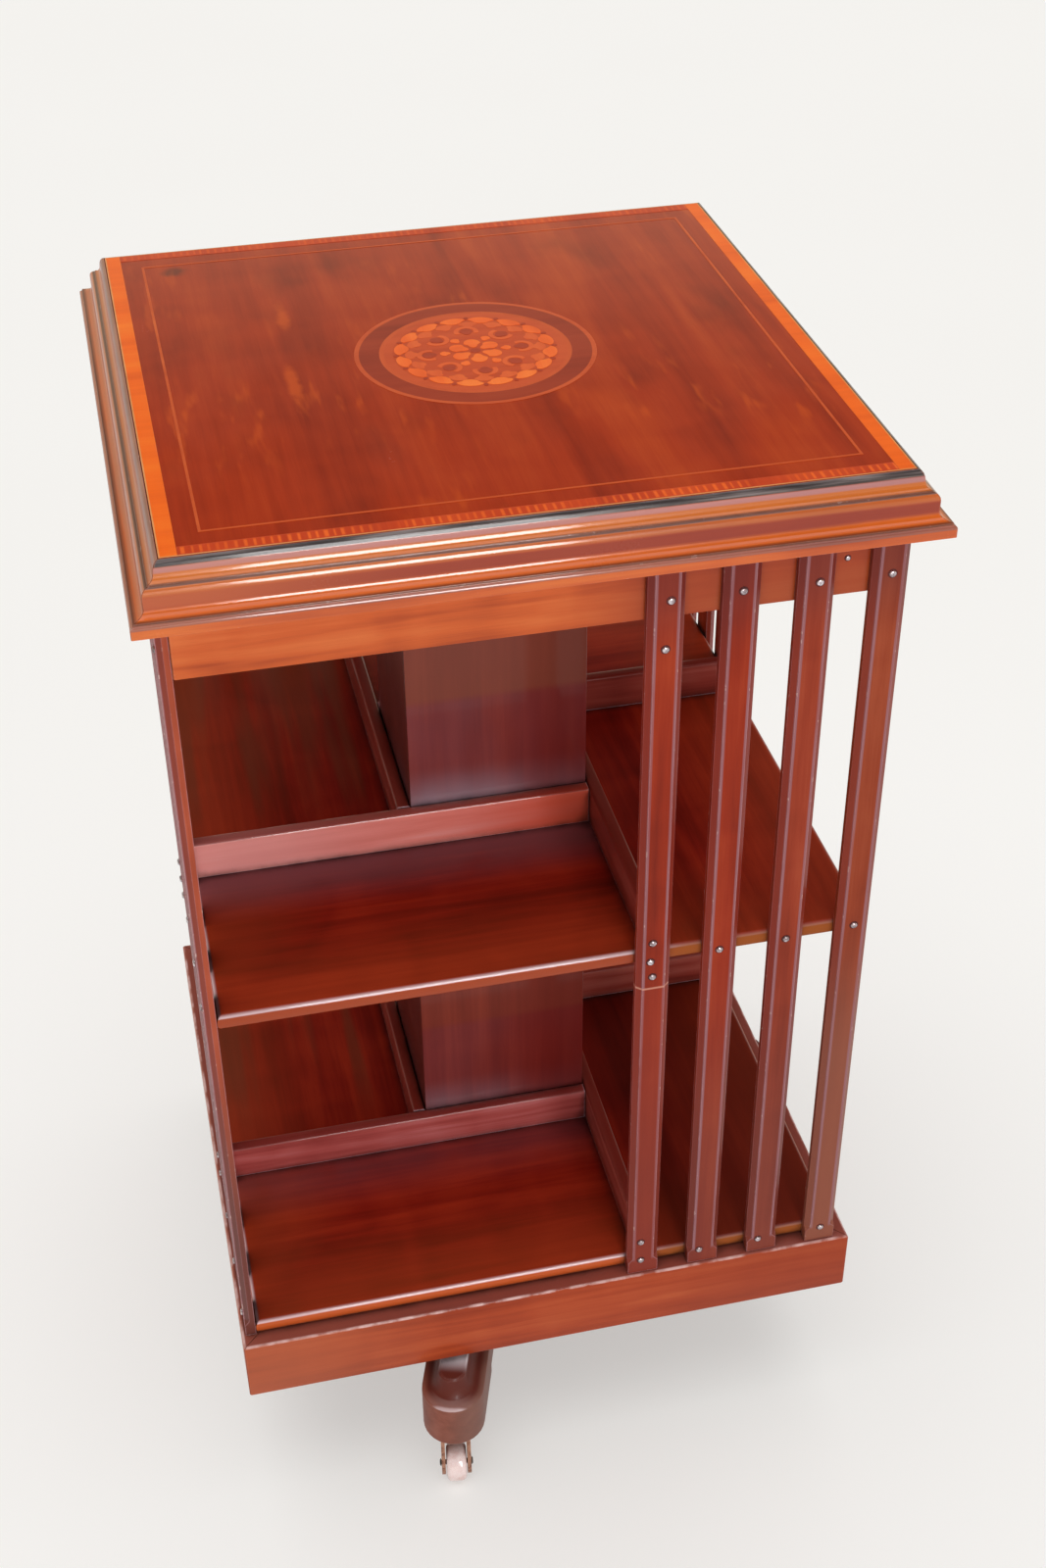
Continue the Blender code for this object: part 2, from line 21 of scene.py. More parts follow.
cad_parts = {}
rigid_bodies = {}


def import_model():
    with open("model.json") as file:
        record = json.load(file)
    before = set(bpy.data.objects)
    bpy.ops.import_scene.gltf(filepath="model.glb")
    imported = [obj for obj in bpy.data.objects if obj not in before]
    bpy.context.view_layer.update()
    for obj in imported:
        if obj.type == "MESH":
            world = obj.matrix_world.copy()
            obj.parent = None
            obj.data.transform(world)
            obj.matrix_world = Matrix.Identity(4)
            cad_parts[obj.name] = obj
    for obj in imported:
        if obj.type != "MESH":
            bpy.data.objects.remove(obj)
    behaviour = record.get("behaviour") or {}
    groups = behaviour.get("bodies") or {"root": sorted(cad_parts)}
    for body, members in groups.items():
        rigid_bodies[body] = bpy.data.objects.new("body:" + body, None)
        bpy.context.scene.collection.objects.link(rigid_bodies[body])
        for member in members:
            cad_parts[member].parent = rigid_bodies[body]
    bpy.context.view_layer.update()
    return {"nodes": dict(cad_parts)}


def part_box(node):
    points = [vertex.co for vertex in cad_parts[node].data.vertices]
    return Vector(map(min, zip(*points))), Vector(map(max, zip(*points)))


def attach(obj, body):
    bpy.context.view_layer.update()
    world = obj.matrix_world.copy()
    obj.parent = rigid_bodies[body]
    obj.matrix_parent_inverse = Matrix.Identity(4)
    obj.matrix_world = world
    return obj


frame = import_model()

LOG = logging.getLogger("bookcase")

Colour = tuple[float, float, float, float]
Levels = tuple[int, int, int]
Triple = tuple[float, float, float]
Run = tuple[float, float]
Socket = bpy.types.NodeSocket
Value = float | tuple[float, ...] | Socket
FaceTest = Callable[[Vector, Vector], bool]

QUARTER = math.pi / 2
SIDES = ("front", "right", "back", "left")
ORIGIN = (0.0, 0.0, 0.0)


def tone(red: int, green: int, blue: int) -> Colour:
    """Turns a colour as a screen shows it into the linear one that a shader takes.

    Args:
        red: from 0 to 255.
        green: from 0 to 255.
        blue: from 0 to 255.

    Returns:
        The linear colour, with an alpha of 1.
    """
    linear = []
    for level in (red, green, blue):
        share = level / 255
        linear.append(share / 12.92 if share <= 0.04045 else ((share + 0.055) / 1.055) ** 2.4)
    return (linear[0], linear[1], linear[2], 1.0)


def beside(level: float, run: Run) -> Run:
    """Gives a run of values that is stated as distances from a level."""
    return (level + run[0], level + run[1])


@dataclass(frozen=True)
class Glaze:
    """A tone that lies over the wood in places.

    Attributes:
        colour: its linear colour.
        weight: how much of it shows where it is thickest.
    """

    colour: Colour
    weight: float


def glaze(red: int, green: int, blue: int, weight: float) -> Glaze:
    """Gives a glaze by its weight and its colour as a screen shows it."""
    return Glaze(tone(red, green, blue), weight)


@dataclass(frozen=True)
class Pattern:
    """A noise pattern and the patches in it.

    Attributes:
        scale: blotches per metre.
        detail: octaves of finer pattern.
        patch: the noise at which a patch begins, and at which it is full.
        draw: the pattern's scale along each axis, below 1 where it is drawn out.
        twist: how far it is distorted.
    """

    scale: float
    detail: float = 2.0
    patch: Run = (0.0, 1.0)
    draw: Triple = (1.0, 1.0, 1.0)
    twist: float = 0.0


class Grain(Enum):
    """The way that a board's fibres run, as the turn that lays them along X."""

    ALONG_X = (0.0, 0.0, 0.0)
    ALONG_Y = (0.0, 0.0, QUARTER)
    ALONG_Z = (0.0, QUARTER, 0.0)
    ARM_1 = (0.0, 0.0, math.radians(108.7))
    ARM_2 = (0.0, 0.0, math.radians(-11.3))
    ARM_3 = (0.0, 0.0, math.radians(-131.3))


@dataclass
class Graph:
    """Adds nodes to one tree and joins them.

    Attributes:
        tree: the tree of a material, a group or the world.
    """

    tree: bpy.types.NodeTree

    def add(self, kind: str, **settings: object) -> bpy.types.Node:
        """Adds a node.

        Args:
            kind: its type, as Blender names it after "ShaderNode".
            **settings: values for its own properties.

        Returns:
            The new node.
        """
        node = self.tree.nodes.new("ShaderNode" + kind)
        for name, value in settings.items():
            setattr(node, name, value)
        return node

    def feed(self, socket: Socket, value: Value) -> None:
        """Links an input to another node's output, or gives it a value of its own."""
        if isinstance(value, bpy.types.NodeSocket):
            self.tree.links.new(value, socket)
        else:
            socket.default_value = value

    def math(self, operation: str, *values: Value, clamp: bool = False) -> Socket:
        """Works out a number.

        Args:
            operation: the Math node's operation.
            *values: numbers or outputs, in the node's order.
            clamp: whether the result stays from 0 to 1.

        Returns:
            The result's output.
        """
        node = self.add("Math", operation=operation, use_clamp=clamp)
        for socket, value in zip(node.inputs, values):
            self.feed(socket, value)
        return node.outputs[0]

    def product(self, first: Value, *others: Value) -> Value:
        """Multiplies masks and weights."""
        for other in others:
            first = self.math("MULTIPLY", first, other)
        return first

    def lifted(self, mask: Socket, least: float) -> Socket:
        """Raises a mask so that it runs from a least value to 1."""
        return self.math("MULTIPLY_ADD", mask, 1.0 - least, least)

    def swing(self, noise: Socket, share: Value, middle: Value, clamp: bool = False) -> Socket:
        """Moves a value to both sides of its middle by a share of a noise."""
        return self.math("MULTIPLY_ADD", self.math("SUBTRACT", noise, 0.5), share, middle, clamp=clamp)

    def split(self, vector: Socket) -> tuple[Socket, Socket, Socket]:
        """Gives a vector's X, Y and Z outputs."""
        node = self.add("SeparateXYZ")
        self.feed(node.inputs[0], vector)
        return node.outputs[0], node.outputs[1], node.outputs[2]

    def reach(self, vector: Socket) -> Socket:
        """Gives how far out a place lies in the square plan of the case."""
        x, y, _ = self.split(vector)
        return self.math("MAXIMUM", self.math("ABSOLUTE", x), self.math("ABSOLUTE", y))

    def stretch(self, vector: Socket, scale: Triple) -> Socket:
        """Scales a vector along its own axes."""
        node = self.add("VectorMath", operation="MULTIPLY")
        self.feed(node.inputs[0], vector)
        self.feed(node.inputs[1], scale)
        return node.outputs[0]

    def turned(self, vector: Socket, angles: Triple) -> Socket:
        """Turns a vector about the origin by Euler angles."""
        node = self.add("VectorRotate", rotation_type="EULER_XYZ")
        self.feed(node.inputs["Vector"], vector)
        self.feed(node.inputs["Rotation"], angles)
        return node.outputs[0]

    def noise(self, vector: Socket, pattern: Pattern) -> Socket:
        """Gives a pattern's noise, around 0.5."""
        node = self.add("TexNoise")
        self.feed(node.inputs["Vector"], self.stretch(vector, pattern.draw))
        self.feed(node.inputs["Scale"], pattern.scale)
        self.feed(node.inputs["Detail"], pattern.detail)
        self.feed(node.inputs["Distortion"], pattern.twist)
        return node.outputs[0]

    def patches(self, vector: Socket, pattern: Pattern) -> Socket:
        """Gives a mask that is 1 in a pattern's patches."""
        return self.fade(self.noise(vector, pattern), *pattern.patch)

    def fade(self, value: Socket, start: Value, end: Value) -> Socket:
        """Rises smoothly from 0 at start to 1 at end, or falls where end is the lower."""
        node = self.add("MapRange", interpolation_type="SMOOTHSTEP")
        self.feed(node.inputs["Value"], value)
        self.feed(node.inputs["From Min"], start)
        self.feed(node.inputs["From Max"], end)
        return node.outputs[0]

    def near(self, value: Socket, middle: float, reach: float) -> Socket:
        """Is 1 at the middle and falls smoothly to 0 at this reach from it."""
        away = self.math("ABSOLUTE", self.math("SUBTRACT", value, middle))
        return self.fade(away, reach, reach / 2)

    def mix(self, share: Value, first: Value, second: Value) -> Socket:
        """Mixes two colours.

        Args:
            share: how much of the second colour shows.
            first: the colour below.
            second: the colour above.

        Returns:
            The mixed colour's output.
        """
        node = self.add("Mix", data_type="RGBA", blend_type="MIX")
        self.feed(node.inputs[0], share)
        self.feed(node.inputs[6], first)
        self.feed(node.inputs[7], second)
        return node.outputs[2]

    def paint(self, colour: Value, over: Glaze, *masks: Value) -> Socket:
        """Lays a glaze over a colour, by its weight, where all the masks are above 0."""
        return self.mix(self.product(*masks, over.weight), colour, over.colour)

    def ramp(self, share: Socket, *stops: tuple[float, Colour]) -> Socket:
        """Runs through colours at given places from 0 to 1."""
        node = self.add("ValToRGB")
        elements = node.color_ramp.elements
        while len(elements) < len(stops):
            elements.new(0.5)
        for element, (place, colour) in zip(elements, stops):
            element.position = place
            element.color = colour
        self.feed(node.inputs[0], share)
        return node.outputs[0]

    def bump(self, height: Socket, strength: float, depth: float) -> Socket:
        """Gives the normal of a surface with this relief.

        Args:
            height: the relief, from 0 to 1.
            strength: how much of it shows.
            depth: what a height of 1 stands for.

        Returns:
            The normal's output.
        """
        node = self.add("Bump")
        self.feed(node.inputs["Strength"], strength)
        self.feed(node.inputs["Distance"], depth)
        self.feed(node.inputs["Height"], height)
        return node.outputs[0]


class Effect:
    """A shader node group with named sockets, which several finishes share."""

    FLOAT = "NodeSocketFloat"
    VECTOR = "NodeSocketVector"

    def __init__(self, name: str, inputs: dict[str, str], outputs: dict[str, str]) -> None:
        """Makes the empty group.

        Args:
            name: the group's name.
            inputs: each input's name and socket type.
            outputs: each output's name and socket type.
        """
        self.tree = bpy.data.node_groups.new(name, "ShaderNodeTree")
        for title, kind in inputs.items():
            self.tree.interface.new_socket(title, in_out="INPUT", socket_type=kind)
        for title, kind in outputs.items():
            self.tree.interface.new_socket(title, in_out="OUTPUT", socket_type=kind)
        self.graph = Graph(self.tree)
        self.source = self.tree.nodes.new("NodeGroupInput").outputs
        self.result = self.tree.nodes.new("NodeGroupOutput").inputs

    def place(self, graph: Graph, **values: Value) -> bpy.types.NodeOutputs:
        """Puts the group into a material.

        Args:
            graph: the material's nodes.
            **values: a value or output for each input, by its name.

        Returns:
            The group's outputs.
        """
        node = graph.add("Group", node_tree=self.tree)
        for title, value in values.items():
            graph.feed(node.inputs[title], value)
        return node.outputs


class WoodFigure(Effect):
    """Mahogany's broad bands, streaks, fibres, cross mottle and pores, with the fibres along X."""

    BAND = Pattern(22.0, draw=(0.12, 1.0, 1.0), twist=0.6)
    STREAK = Pattern(130.0, 3.0, draw=(0.05, 1.0, 1.0), twist=0.4)
    FIBRE = Pattern(900.0, draw=(0.03, 1.0, 1.0))
    MOTTLE = Pattern(30.0, 1.0, draw=(0.8, 0.5, 0.5), twist=0.6)
    PORE = Pattern(1500.0, patch=(0.58, 0.74), draw=(0.06, 1.0, 1.0))
    BAND_SHARE = 0.75
    FIBRE_SHARE = 0.12

    def __init__(self) -> None:
        """Builds the group."""
        super().__init__(
            "wood_figure",
            {"Place": self.VECTOR, "Streak": self.FLOAT, "Mottle": self.FLOAT},
            {"Tone": self.FLOAT, "Pore": self.FLOAT, "Relief": self.FLOAT},
        )
        graph = self.graph
        place = self.source["Place"]
        fibre = graph.noise(place, self.FIBRE)
        pore = graph.patches(place, self.PORE)
        layers = (
            (graph.noise(place, self.BAND), self.BAND_SHARE),
            (graph.noise(place, self.STREAK), self.source["Streak"]),
            (graph.noise(place, self.MOTTLE), self.source["Mottle"]),
            (fibre, self.FIBRE_SHARE),
        )
        total: Value = 0.5
        for layer, share in layers:
            total = graph.swing(layer, share, total)
        graph.feed(self.result["Tone"], total)
        graph.feed(self.result["Pore"], pore)
        graph.feed(self.result["Relief"], graph.math("SUBTRACT", fibre, pore))


class EdgeWear(Effect):
    """Rubbed and chipped arrises: masks that follow the edges of the shape."""

    SAMPLES = 8
    EDGE = (0.994, 0.92)
    RUB = Pattern(70.0, 4.0, (0.12, 0.56))
    CHIP = Pattern(150.0, 2.0, (0.655, 0.70))

    def __init__(self) -> None:
        """Builds the group."""
        super().__init__(
            "edge_wear",
            {"Place": self.VECTOR, "Reach": self.FLOAT},
            {"Rub": self.FLOAT, "Chip": self.FLOAT},
        )
        graph = self.graph
        soft = graph.add("Bevel", samples=self.SAMPLES)
        graph.feed(soft.inputs["Radius"], self.source["Reach"])
        level = graph.add("VectorMath", operation="DOT_PRODUCT")
        graph.feed(level.inputs[0], soft.outputs[0])
        graph.feed(level.inputs[1], graph.add("NewGeometry").outputs["Normal"])
        edge = graph.fade(level.outputs["Value"], *self.EDGE)
        for title, pattern in (("Rub", self.RUB), ("Chip", self.CHIP)):
            patches = graph.patches(self.source["Place"], pattern)
            graph.feed(self.result[title], graph.product(edge, patches))


class ShadeAndGrime(Effect):
    """Painted shade, with old wax and dust, in the corners: a mask that is 1 where faces close in."""

    SAMPLES = 8
    CLOSED = (0.84, 0.38)
    PATCHES = Pattern(60.0, 3.0, (0.25, 0.75))
    LEAST = 0.5

    def __init__(self) -> None:
        """Builds the group."""
        super().__init__("grime_and_shade", {"Place": self.VECTOR, "Reach": self.FLOAT}, {"Mask": self.FLOAT})
        graph = self.graph
        open_sky = graph.add("AmbientOcclusion", samples=self.SAMPLES)
        graph.feed(open_sky.inputs["Distance"], self.source["Reach"])
        closed = graph.fade(open_sky.outputs["AO"], *self.CLOSED)
        patchy = graph.lifted(graph.patches(self.source["Place"], self.PATCHES), self.LEAST)
        graph.feed(self.result["Mask"], graph.product(closed, patchy))


class Polish(Effect):
    """Hand-rubbed gloss: smears and fine scratches that change the roughness."""

    SMEAR = Pattern(14.0, 4.0, draw=(1.0, 0.6, 0.8), twist=0.6)
    SMEAR_SHARE = 0.18
    SCRATCH = Pattern(420.0, 3.0)
    SCRATCH_SHARE = 0.06
    RIPPLE = Pattern(55.0, 1.0)

    def __init__(self) -> None:
        """Builds the group."""
        super().__init__(
            "polish",
            {"Place": self.VECTOR, "Gloss": self.FLOAT},
            {"Roughness": self.FLOAT, "Ripple": self.FLOAT},
        )
        graph = self.graph
        place = self.source["Place"]
        rough = graph.swing(graph.noise(place, self.SMEAR), self.SMEAR_SHARE, self.source["Gloss"])
        rough = graph.swing(graph.noise(place, self.SCRATCH), self.SCRATCH_SHARE, rough, clamp=True)
        graph.feed(self.result["Roughness"], rough)
        graph.feed(self.result["Ripple"], graph.noise(place, self.RIPPLE))


FIGURE = WoodFigure()
WEAR = EdgeWear()
SHADE_AND_GRIME = ShadeAndGrime()
POLISH = Polish()


class Recipe:
    """A new material: its nodes, its shader and the place on the piece that it reads."""

    def __init__(self, title: str) -> None:
        """Starts the material under its name."""
        self.material = bpy.data.materials.new(title)
        self.material.use_nodes = True
        self.graph = Graph(self.material.node_tree)
        self.shader = self.material.node_tree.nodes["Principled BSDF"]
        self.place = self.graph.add("TexCoord").outputs["Object"]

    def finish(self, values: dict[str, Value]) -> bpy.types.Material:
        """Feeds the shader's inputs, by their names, and gives the material."""
        for title, value in values.items():
            self.graph.feed(self.shader.inputs[title], value)
        return self.material


@dataclass(frozen=True)
class WoodFinish:
    """Mahogany under French polish.

    Attributes:
        name: the finish's name.
        dark: the tone of the dark streaks.
        body: the tone of most of the wood.
        light: the tone of the light streaks.
        streak: contrast of the streaks along the fibres.
        mottle: contrast of the patches across the fibres.
        pore: how far the pores darken the wood.
        gloss: the roughness under the polish.
        coat: how much clear polish lies on the wood.
        shine: the specular level of the wood under the polish.
        rub: how far the arrises are rubbed pale.
        rubbed: the tone of a rubbed arris.
        wear_reach: how far the rubbing spreads from an arris.
        shade_and_soil: how dark the painted shade and old wax in the corners are.
        shade_and_soil_reach: how far they spread from a corner.
    """

    name: str
    dark: Colour
    body: Colour
    light: Colour
    streak: float = 0.40
    mottle: float = 0.20
    pore: float = 0.14
    gloss: float = 0.32
    coat: float = 0.20
    shine: float = 0.5
    rub: float = 0.35
    rubbed: Colour = tone(205, 120, 90)
    wear_reach: float = 0.0012
    shade_and_soil: float = 0.75
    shade_and_soil_reach: float = 0.012

    STOPS = (0.22, 0.5, 0.80)
    CHIP = tone(226, 196, 184)
    # The tone of the painted shade and old wax in the corners.
    SHADE_AND_SOIL_TONE = tone(38, 22, 20)
    WOOD_IOR = 1.25
    COAT_ROUGHNESS = 0.07
    RIPPLE_SHARE = 0.6
    RELIEF_STRENGTH = 0.05
    RELIEF_DEPTH = 0.0006

    def retoned(self, name: str, dark: Levels, body: Levels, light: Levels, **changes: object) -> Self:
        """Gives a finish like this one under another name.

        Args:
            name: the new finish's name.
            dark: its dark tone, as a screen shows it.
            body: its middle tone.
            light: its light tone.
            **changes: values for other fields.

        Returns:
            The new finish.
        """
        return replace(self, name=name, dark=tone(*dark), body=tone(*body), light=tone(*light), **changes)

    def along(self, graph: Graph, place: Socket, run: Grain) -> Socket:
        """Gives the place in the board's own axes, with the fibres along X."""
        return graph.turned(place, run.value)

    def recolour(self, graph: Graph, place: Socket, colour: Socket) -> Socket:
        """Changes the wood's colour where a finish has more than plain wood."""
        return colour

    def lacquer(self, graph: Graph, place: Socket) -> Value:
        """Gives the weight of the clear polish, which may change over the surface."""
        return self.coat

    def material(self, run: Grain) -> bpy.types.Material:
        """Makes the finish for boards whose fibres run one way.

        Args:
            run: the way of the fibres.

        Returns:
            The material, which is made at its first use.
        """
        title = f"{self.name}_{run.name.lower()}"
        made = bpy.data.materials.get(title)
        if made is not None:
            return made
        recipe = Recipe(title)
        graph = recipe.graph
        place = recipe.place
        board = self.along(graph, place, run)
        figure = FIGURE.place(graph, Place=board, Streak=self.streak, Mottle=self.mottle)
        colour = graph.ramp(figure["Tone"], *zip(self.STOPS, (self.dark, self.body, self.light)))
        colour = graph.paint(colour, Glaze(self.dark, self.pore), figure["Pore"])
        colour = self.recolour(graph, place, colour)
        # Painted shade, with old wax, darkens the corners.
        grime_and_shade = SHADE_AND_GRIME.place(graph, Place=place, Reach=self.shade_and_soil_reach)
        colour = graph.paint(colour, Glaze(self.SHADE_AND_SOIL_TONE, self.shade_and_soil), grime_and_shade["Mask"])
        wear = WEAR.place(graph, Place=place, Reach=self.wear_reach)
        colour = graph.paint(colour, Glaze(self.rubbed, self.rub), wear["Rub"])
        colour = graph.paint(colour, Glaze(self.CHIP, self.rub), wear["Chip"])
        polish = POLISH.place(graph, Place=place, Gloss=self.gloss)
        relief = graph.math("MULTIPLY_ADD", polish["Ripple"], self.RIPPLE_SHARE, figure["Relief"])
        return recipe.finish({
            "Base Color": colour,
            "Roughness": polish["Roughness"],
            "Coat Weight": self.lacquer(graph, place),
            "Coat Roughness": self.COAT_ROUGHNESS,
            "IOR": self.WOOD_IOR,
            "Specular IOR Level": self.shine,
            "Normal": graph.bump(relief, self.RELIEF_STRENGTH, self.RELIEF_DEPTH),
        })


@dataclass(frozen=True)
class ShelfFinish(WoodFinish):
    """A shelf's boards, which go round the column as a pinwheel.

    Attributes:
        seam: the distance from the spindle of the joints between the boards.
        edge: the distance from the spindle of the shelf's edges.
        tops: the heights of the two shelves' upper faces.
    """

    seam: float = 0.0665
    edge: float = 0.2290
    tops: Run = (0.1893, 0.4990)

    BETWEEN = 0.3
    PALER_TONE = glaze(160, 66, 32, 0.45)
    PALER_FROM = 0.120
    SHADED = glaze(72, 20, 12, 0.22)
    BEHIND = (-0.05, 0.05)
    BROWN = glaze(104, 54, 34, 0.55)
    STRIPES = Pattern(34.0, 2.0, (0.48, 0.62), (1.0, 0.06, 1.0))
    RIGHT = (0.06, 0.12)
    RIGHT_SHADE = 0.65
    # The pale wash in front of the rails is a painted reflection of them.
    PALE_WASH = tone(134, 82, 88)
    REFLECTION_RUN = (-0.1365, -0.0765)
    PALE_WASH_WEIGHT = 0.40
    REFLECTION_MORE_ABOVE = 0.45
    PATCHES = Pattern(16.0, 2.0, (0.0, 0.50))
    NOSINGS = (tone(198, 88, 38), tone(162, 68, 36))
    NOSING_DEPTH = 0.0028
    GOLDEN = tone(158, 84, 40)
    GOLDEN_RUN = (0.060, 0.100)
    # The pale line along the nosings' upper arrises: a painted highlight, with wear.
    HIGHLIGHT_AND_WEAR = glaze(236, 214, 220, 0.68)
    HIGHLIGHT_AND_WEAR_DEPTH = 0.00392
    HIGHLIGHT_AND_WEAR_DROP = 0.0011
    HIGHLIGHT_AND_WEAR_REACH = 0.0017
    GOLDEN_LOSS = -0.85
    POLISH_DEPTH = 0.004
    POLISH_GAIN = 0.33

    def recolour(self, graph: Graph, place: Socket, colour: Socket) -> Socket:
        """Pales it outwards; paints shade, the rails' reflection, and a highlight with wear on the edge."""
        x, y, z = graph.split(place)
        upper = graph.math("GREATER_THAN", z, self.BETWEEN)
        # The wood is paler towards the outer edges.
        outwards = graph.fade(graph.reach(place), self.PALER_FROM, self.edge)
        colour = graph.paint(colour, self.PALER_TONE, outwards)
        behind = graph.product(graph.fade(y, *self.BEHIND), graph.fade(x, *reversed(self.BEHIND)))
        colour = graph.paint(colour, self.SHADED, behind)
        colour = graph.paint(colour, self.BROWN, graph.patches(place, self.STRIPES), behind)
        lower_only = graph.math("SUBTRACT", self.RIGHT_SHADE, upper)
        right = graph.math("MULTIPLY", graph.fade(x, *self.RIGHT), lower_only, clamp=True)
        colour = graph.mix(right, colour, self.SHADED.colour)
        # Painted reflection of the rails on the front board, stronger on the upper shelf.
        patches = graph.patches(place, self.PATCHES)
        pale_layer = graph.product(graph.fade(y, *self.REFLECTION_RUN), patches, self.front(graph, place))
        weight = graph.math("MULTIPLY_ADD", upper, self.REFLECTION_MORE_ABOVE, self.PALE_WASH_WEIGHT)
        colour = graph.mix(graph.product(pale_layer, weight), colour, self.PALE_WASH)
        golden = graph.fade(x, *self.GOLDEN_RUN)
        edge = graph.mix(golden, graph.mix(upper, *self.NOSINGS), self.GOLDEN)
        colour = graph.mix(self.nosing(graph, place, self.NOSING_DEPTH), colour, edge)
        # Painted highlight with wear along the rounded edge's upper arris, fainter where the edge is golden.
        duller = graph.math("MULTIPLY_ADD", golden, self.GOLDEN_LOSS, 1.0)
        arris = graph.product(self.nosing(graph, place, self.HIGHLIGHT_AND_WEAR_DEPTH), duller)
        for top in self.tops:
            line = graph.near(z, top - self.HIGHLIGHT_AND_WEAR_DROP, self.HIGHLIGHT_AND_WEAR_REACH)
            colour = graph.paint(colour, self.HIGHLIGHT_AND_WEAR, line, arris)
        return colour

    def nosing(self, graph: Graph, place: Socket, depth: float) -> Socket:
        """Gives a mask of the rounded edge to this depth."""
        return graph.fade(graph.reach(place), self.edge - depth, self.edge - depth / 3)

    def front(self, graph: Graph, place: Socket) -> Socket:
        """Gives a mask of the front board."""
        x, y, _ = graph.split(place)
        ahead = graph.math("LESS_THAN", y, -self.seam)
        return graph.product(ahead, graph.math("LESS_THAN", x, self.seam))

    def back(self, graph: Graph, place: Socket) -> Socket:
        """Gives a mask of the back board."""
        x, y, _ = graph.split(place)
        behind = graph.math("GREATER_THAN", y, self.seam)
        return graph.product(behind, graph.math("GREATER_THAN", x, -self.seam))

    def lacquer(self, graph: Graph, place: Socket) -> Value:
        """Keeps the polish bright along the rounded edge."""
        x, _, _ = graph.split(place)
        left = graph.fade(x, *reversed(self.GOLDEN_RUN))
        bright = graph.product(self.nosing(graph, place, self.POLISH_DEPTH), left)
        return graph.math("MULTIPLY_ADD", bright, self.POLISH_GAIN, self.coat)

    def along(self, graph: Graph, place: Socket, run: Grain) -> Socket:
        """Turns the fibres by a quarter on the left and right boards."""
        across = graph.math("ADD", self.front(graph, place), self.back(graph, place), clamp=True)
        node = graph.add("Mix", data_type="VECTOR")
        graph.feed(node.inputs[0], across)
        graph.feed(node.inputs[4], graph.turned(place, Grain.ALONG_Y.value))
        graph.feed(node.inputs[5], graph.turned(place, Grain.ALONG_X.value))
        return node.outputs[1]


@dataclass(frozen=True)
class GradedFinish(WoodFinish):
    """Wood whose tone changes towards the case's left and right.

    Attributes:
        ends: each change, with where it starts and is full along X.
    """

    ends: tuple[tuple[Glaze, Run], ...] = ()

    def recolour(self, graph: Graph, place: Socket, colour: Socket) -> Socket:
        """Runs from one tone to the next along the wood."""
        x, _, _ = graph.split(place)
        for end, run in self.ends:
            colour = graph.paint(colour, end, graph.fade(x, *run))
        return colour


@dataclass(frozen=True)
class RailFinish(GradedFinish):
    """The rails round the column, with painted shade on their upper faces.

    Attributes:
        tops: the heights of the upper faces.
    """

    tops: Run = (0.2193, 0.5290)

    TOP_SHADE = glaze(124, 34, 22, 0.7)
    TOP_SHADE_REACH = 0.0012

    def recolour(self, graph: Graph, place: Socket, colour: Socket) -> Socket:
        """Paints shade on the upper faces."""
        colour = super().recolour(graph, place, colour)
        _, _, z = graph.split(place)
        for top in self.tops:
            colour = graph.paint(colour, self.TOP_SHADE, graph.near(z, top, self.TOP_SHADE_REACH))
        return colour


@dataclass(frozen=True)
class PlinthFinish(GradedFinish):
    """The plinth's rails, with painted shade on the ledge and a painted highlight on the upper arris.

    Attributes:
        top: the height of the ledge.
        face: the distance from the spindle of the rails' faces.
    """

    top: float = 0.1765
    face: float = 0.2400

    LEDGE_SHADE = glaze(132, 70, 62, 0.8)
    LEDGE_SHADE_RUN = (-0.0012, -0.0003)
    ARRIS_HIGHLIGHT = glaze(226, 186, 180, 0.75)
    ARRIS_HIGHLIGHT_DROP = 0.0007
    ARRIS_HIGHLIGHT_REACH = 0.0012
    ARRIS_HIGHLIGHT_RUN = (-0.0024, -0.0012)
    PATCHES = Pattern(46.0, 4.0, (0.40, 0.62))

    def recolour(self, graph: Graph, place: Socket, colour: Socket) -> Socket:
        """Paints shade on the ledge and a highlight on the arris, broken in patches."""
        colour = super().recolour(graph, place, colour)
        _, _, z = graph.split(place)
        # Painted shade on the ledge, which lies under the shelf's edge.
        colour = graph.paint(colour, self.LEDGE_SHADE, graph.fade(z, *beside(self.top, self.LEDGE_SHADE_RUN)))
        # Painted highlight along the upper arris, broken in patches.
        line = graph.near(z, self.top - self.ARRIS_HIGHLIGHT_DROP, self.ARRIS_HIGHLIGHT_REACH)
        outside = graph.fade(graph.reach(place), *beside(self.face, self.ARRIS_HIGHLIGHT_RUN))
        return graph.paint(colour, self.ARRIS_HIGHLIGHT, line, outside, graph.patches(place, self.PATCHES))


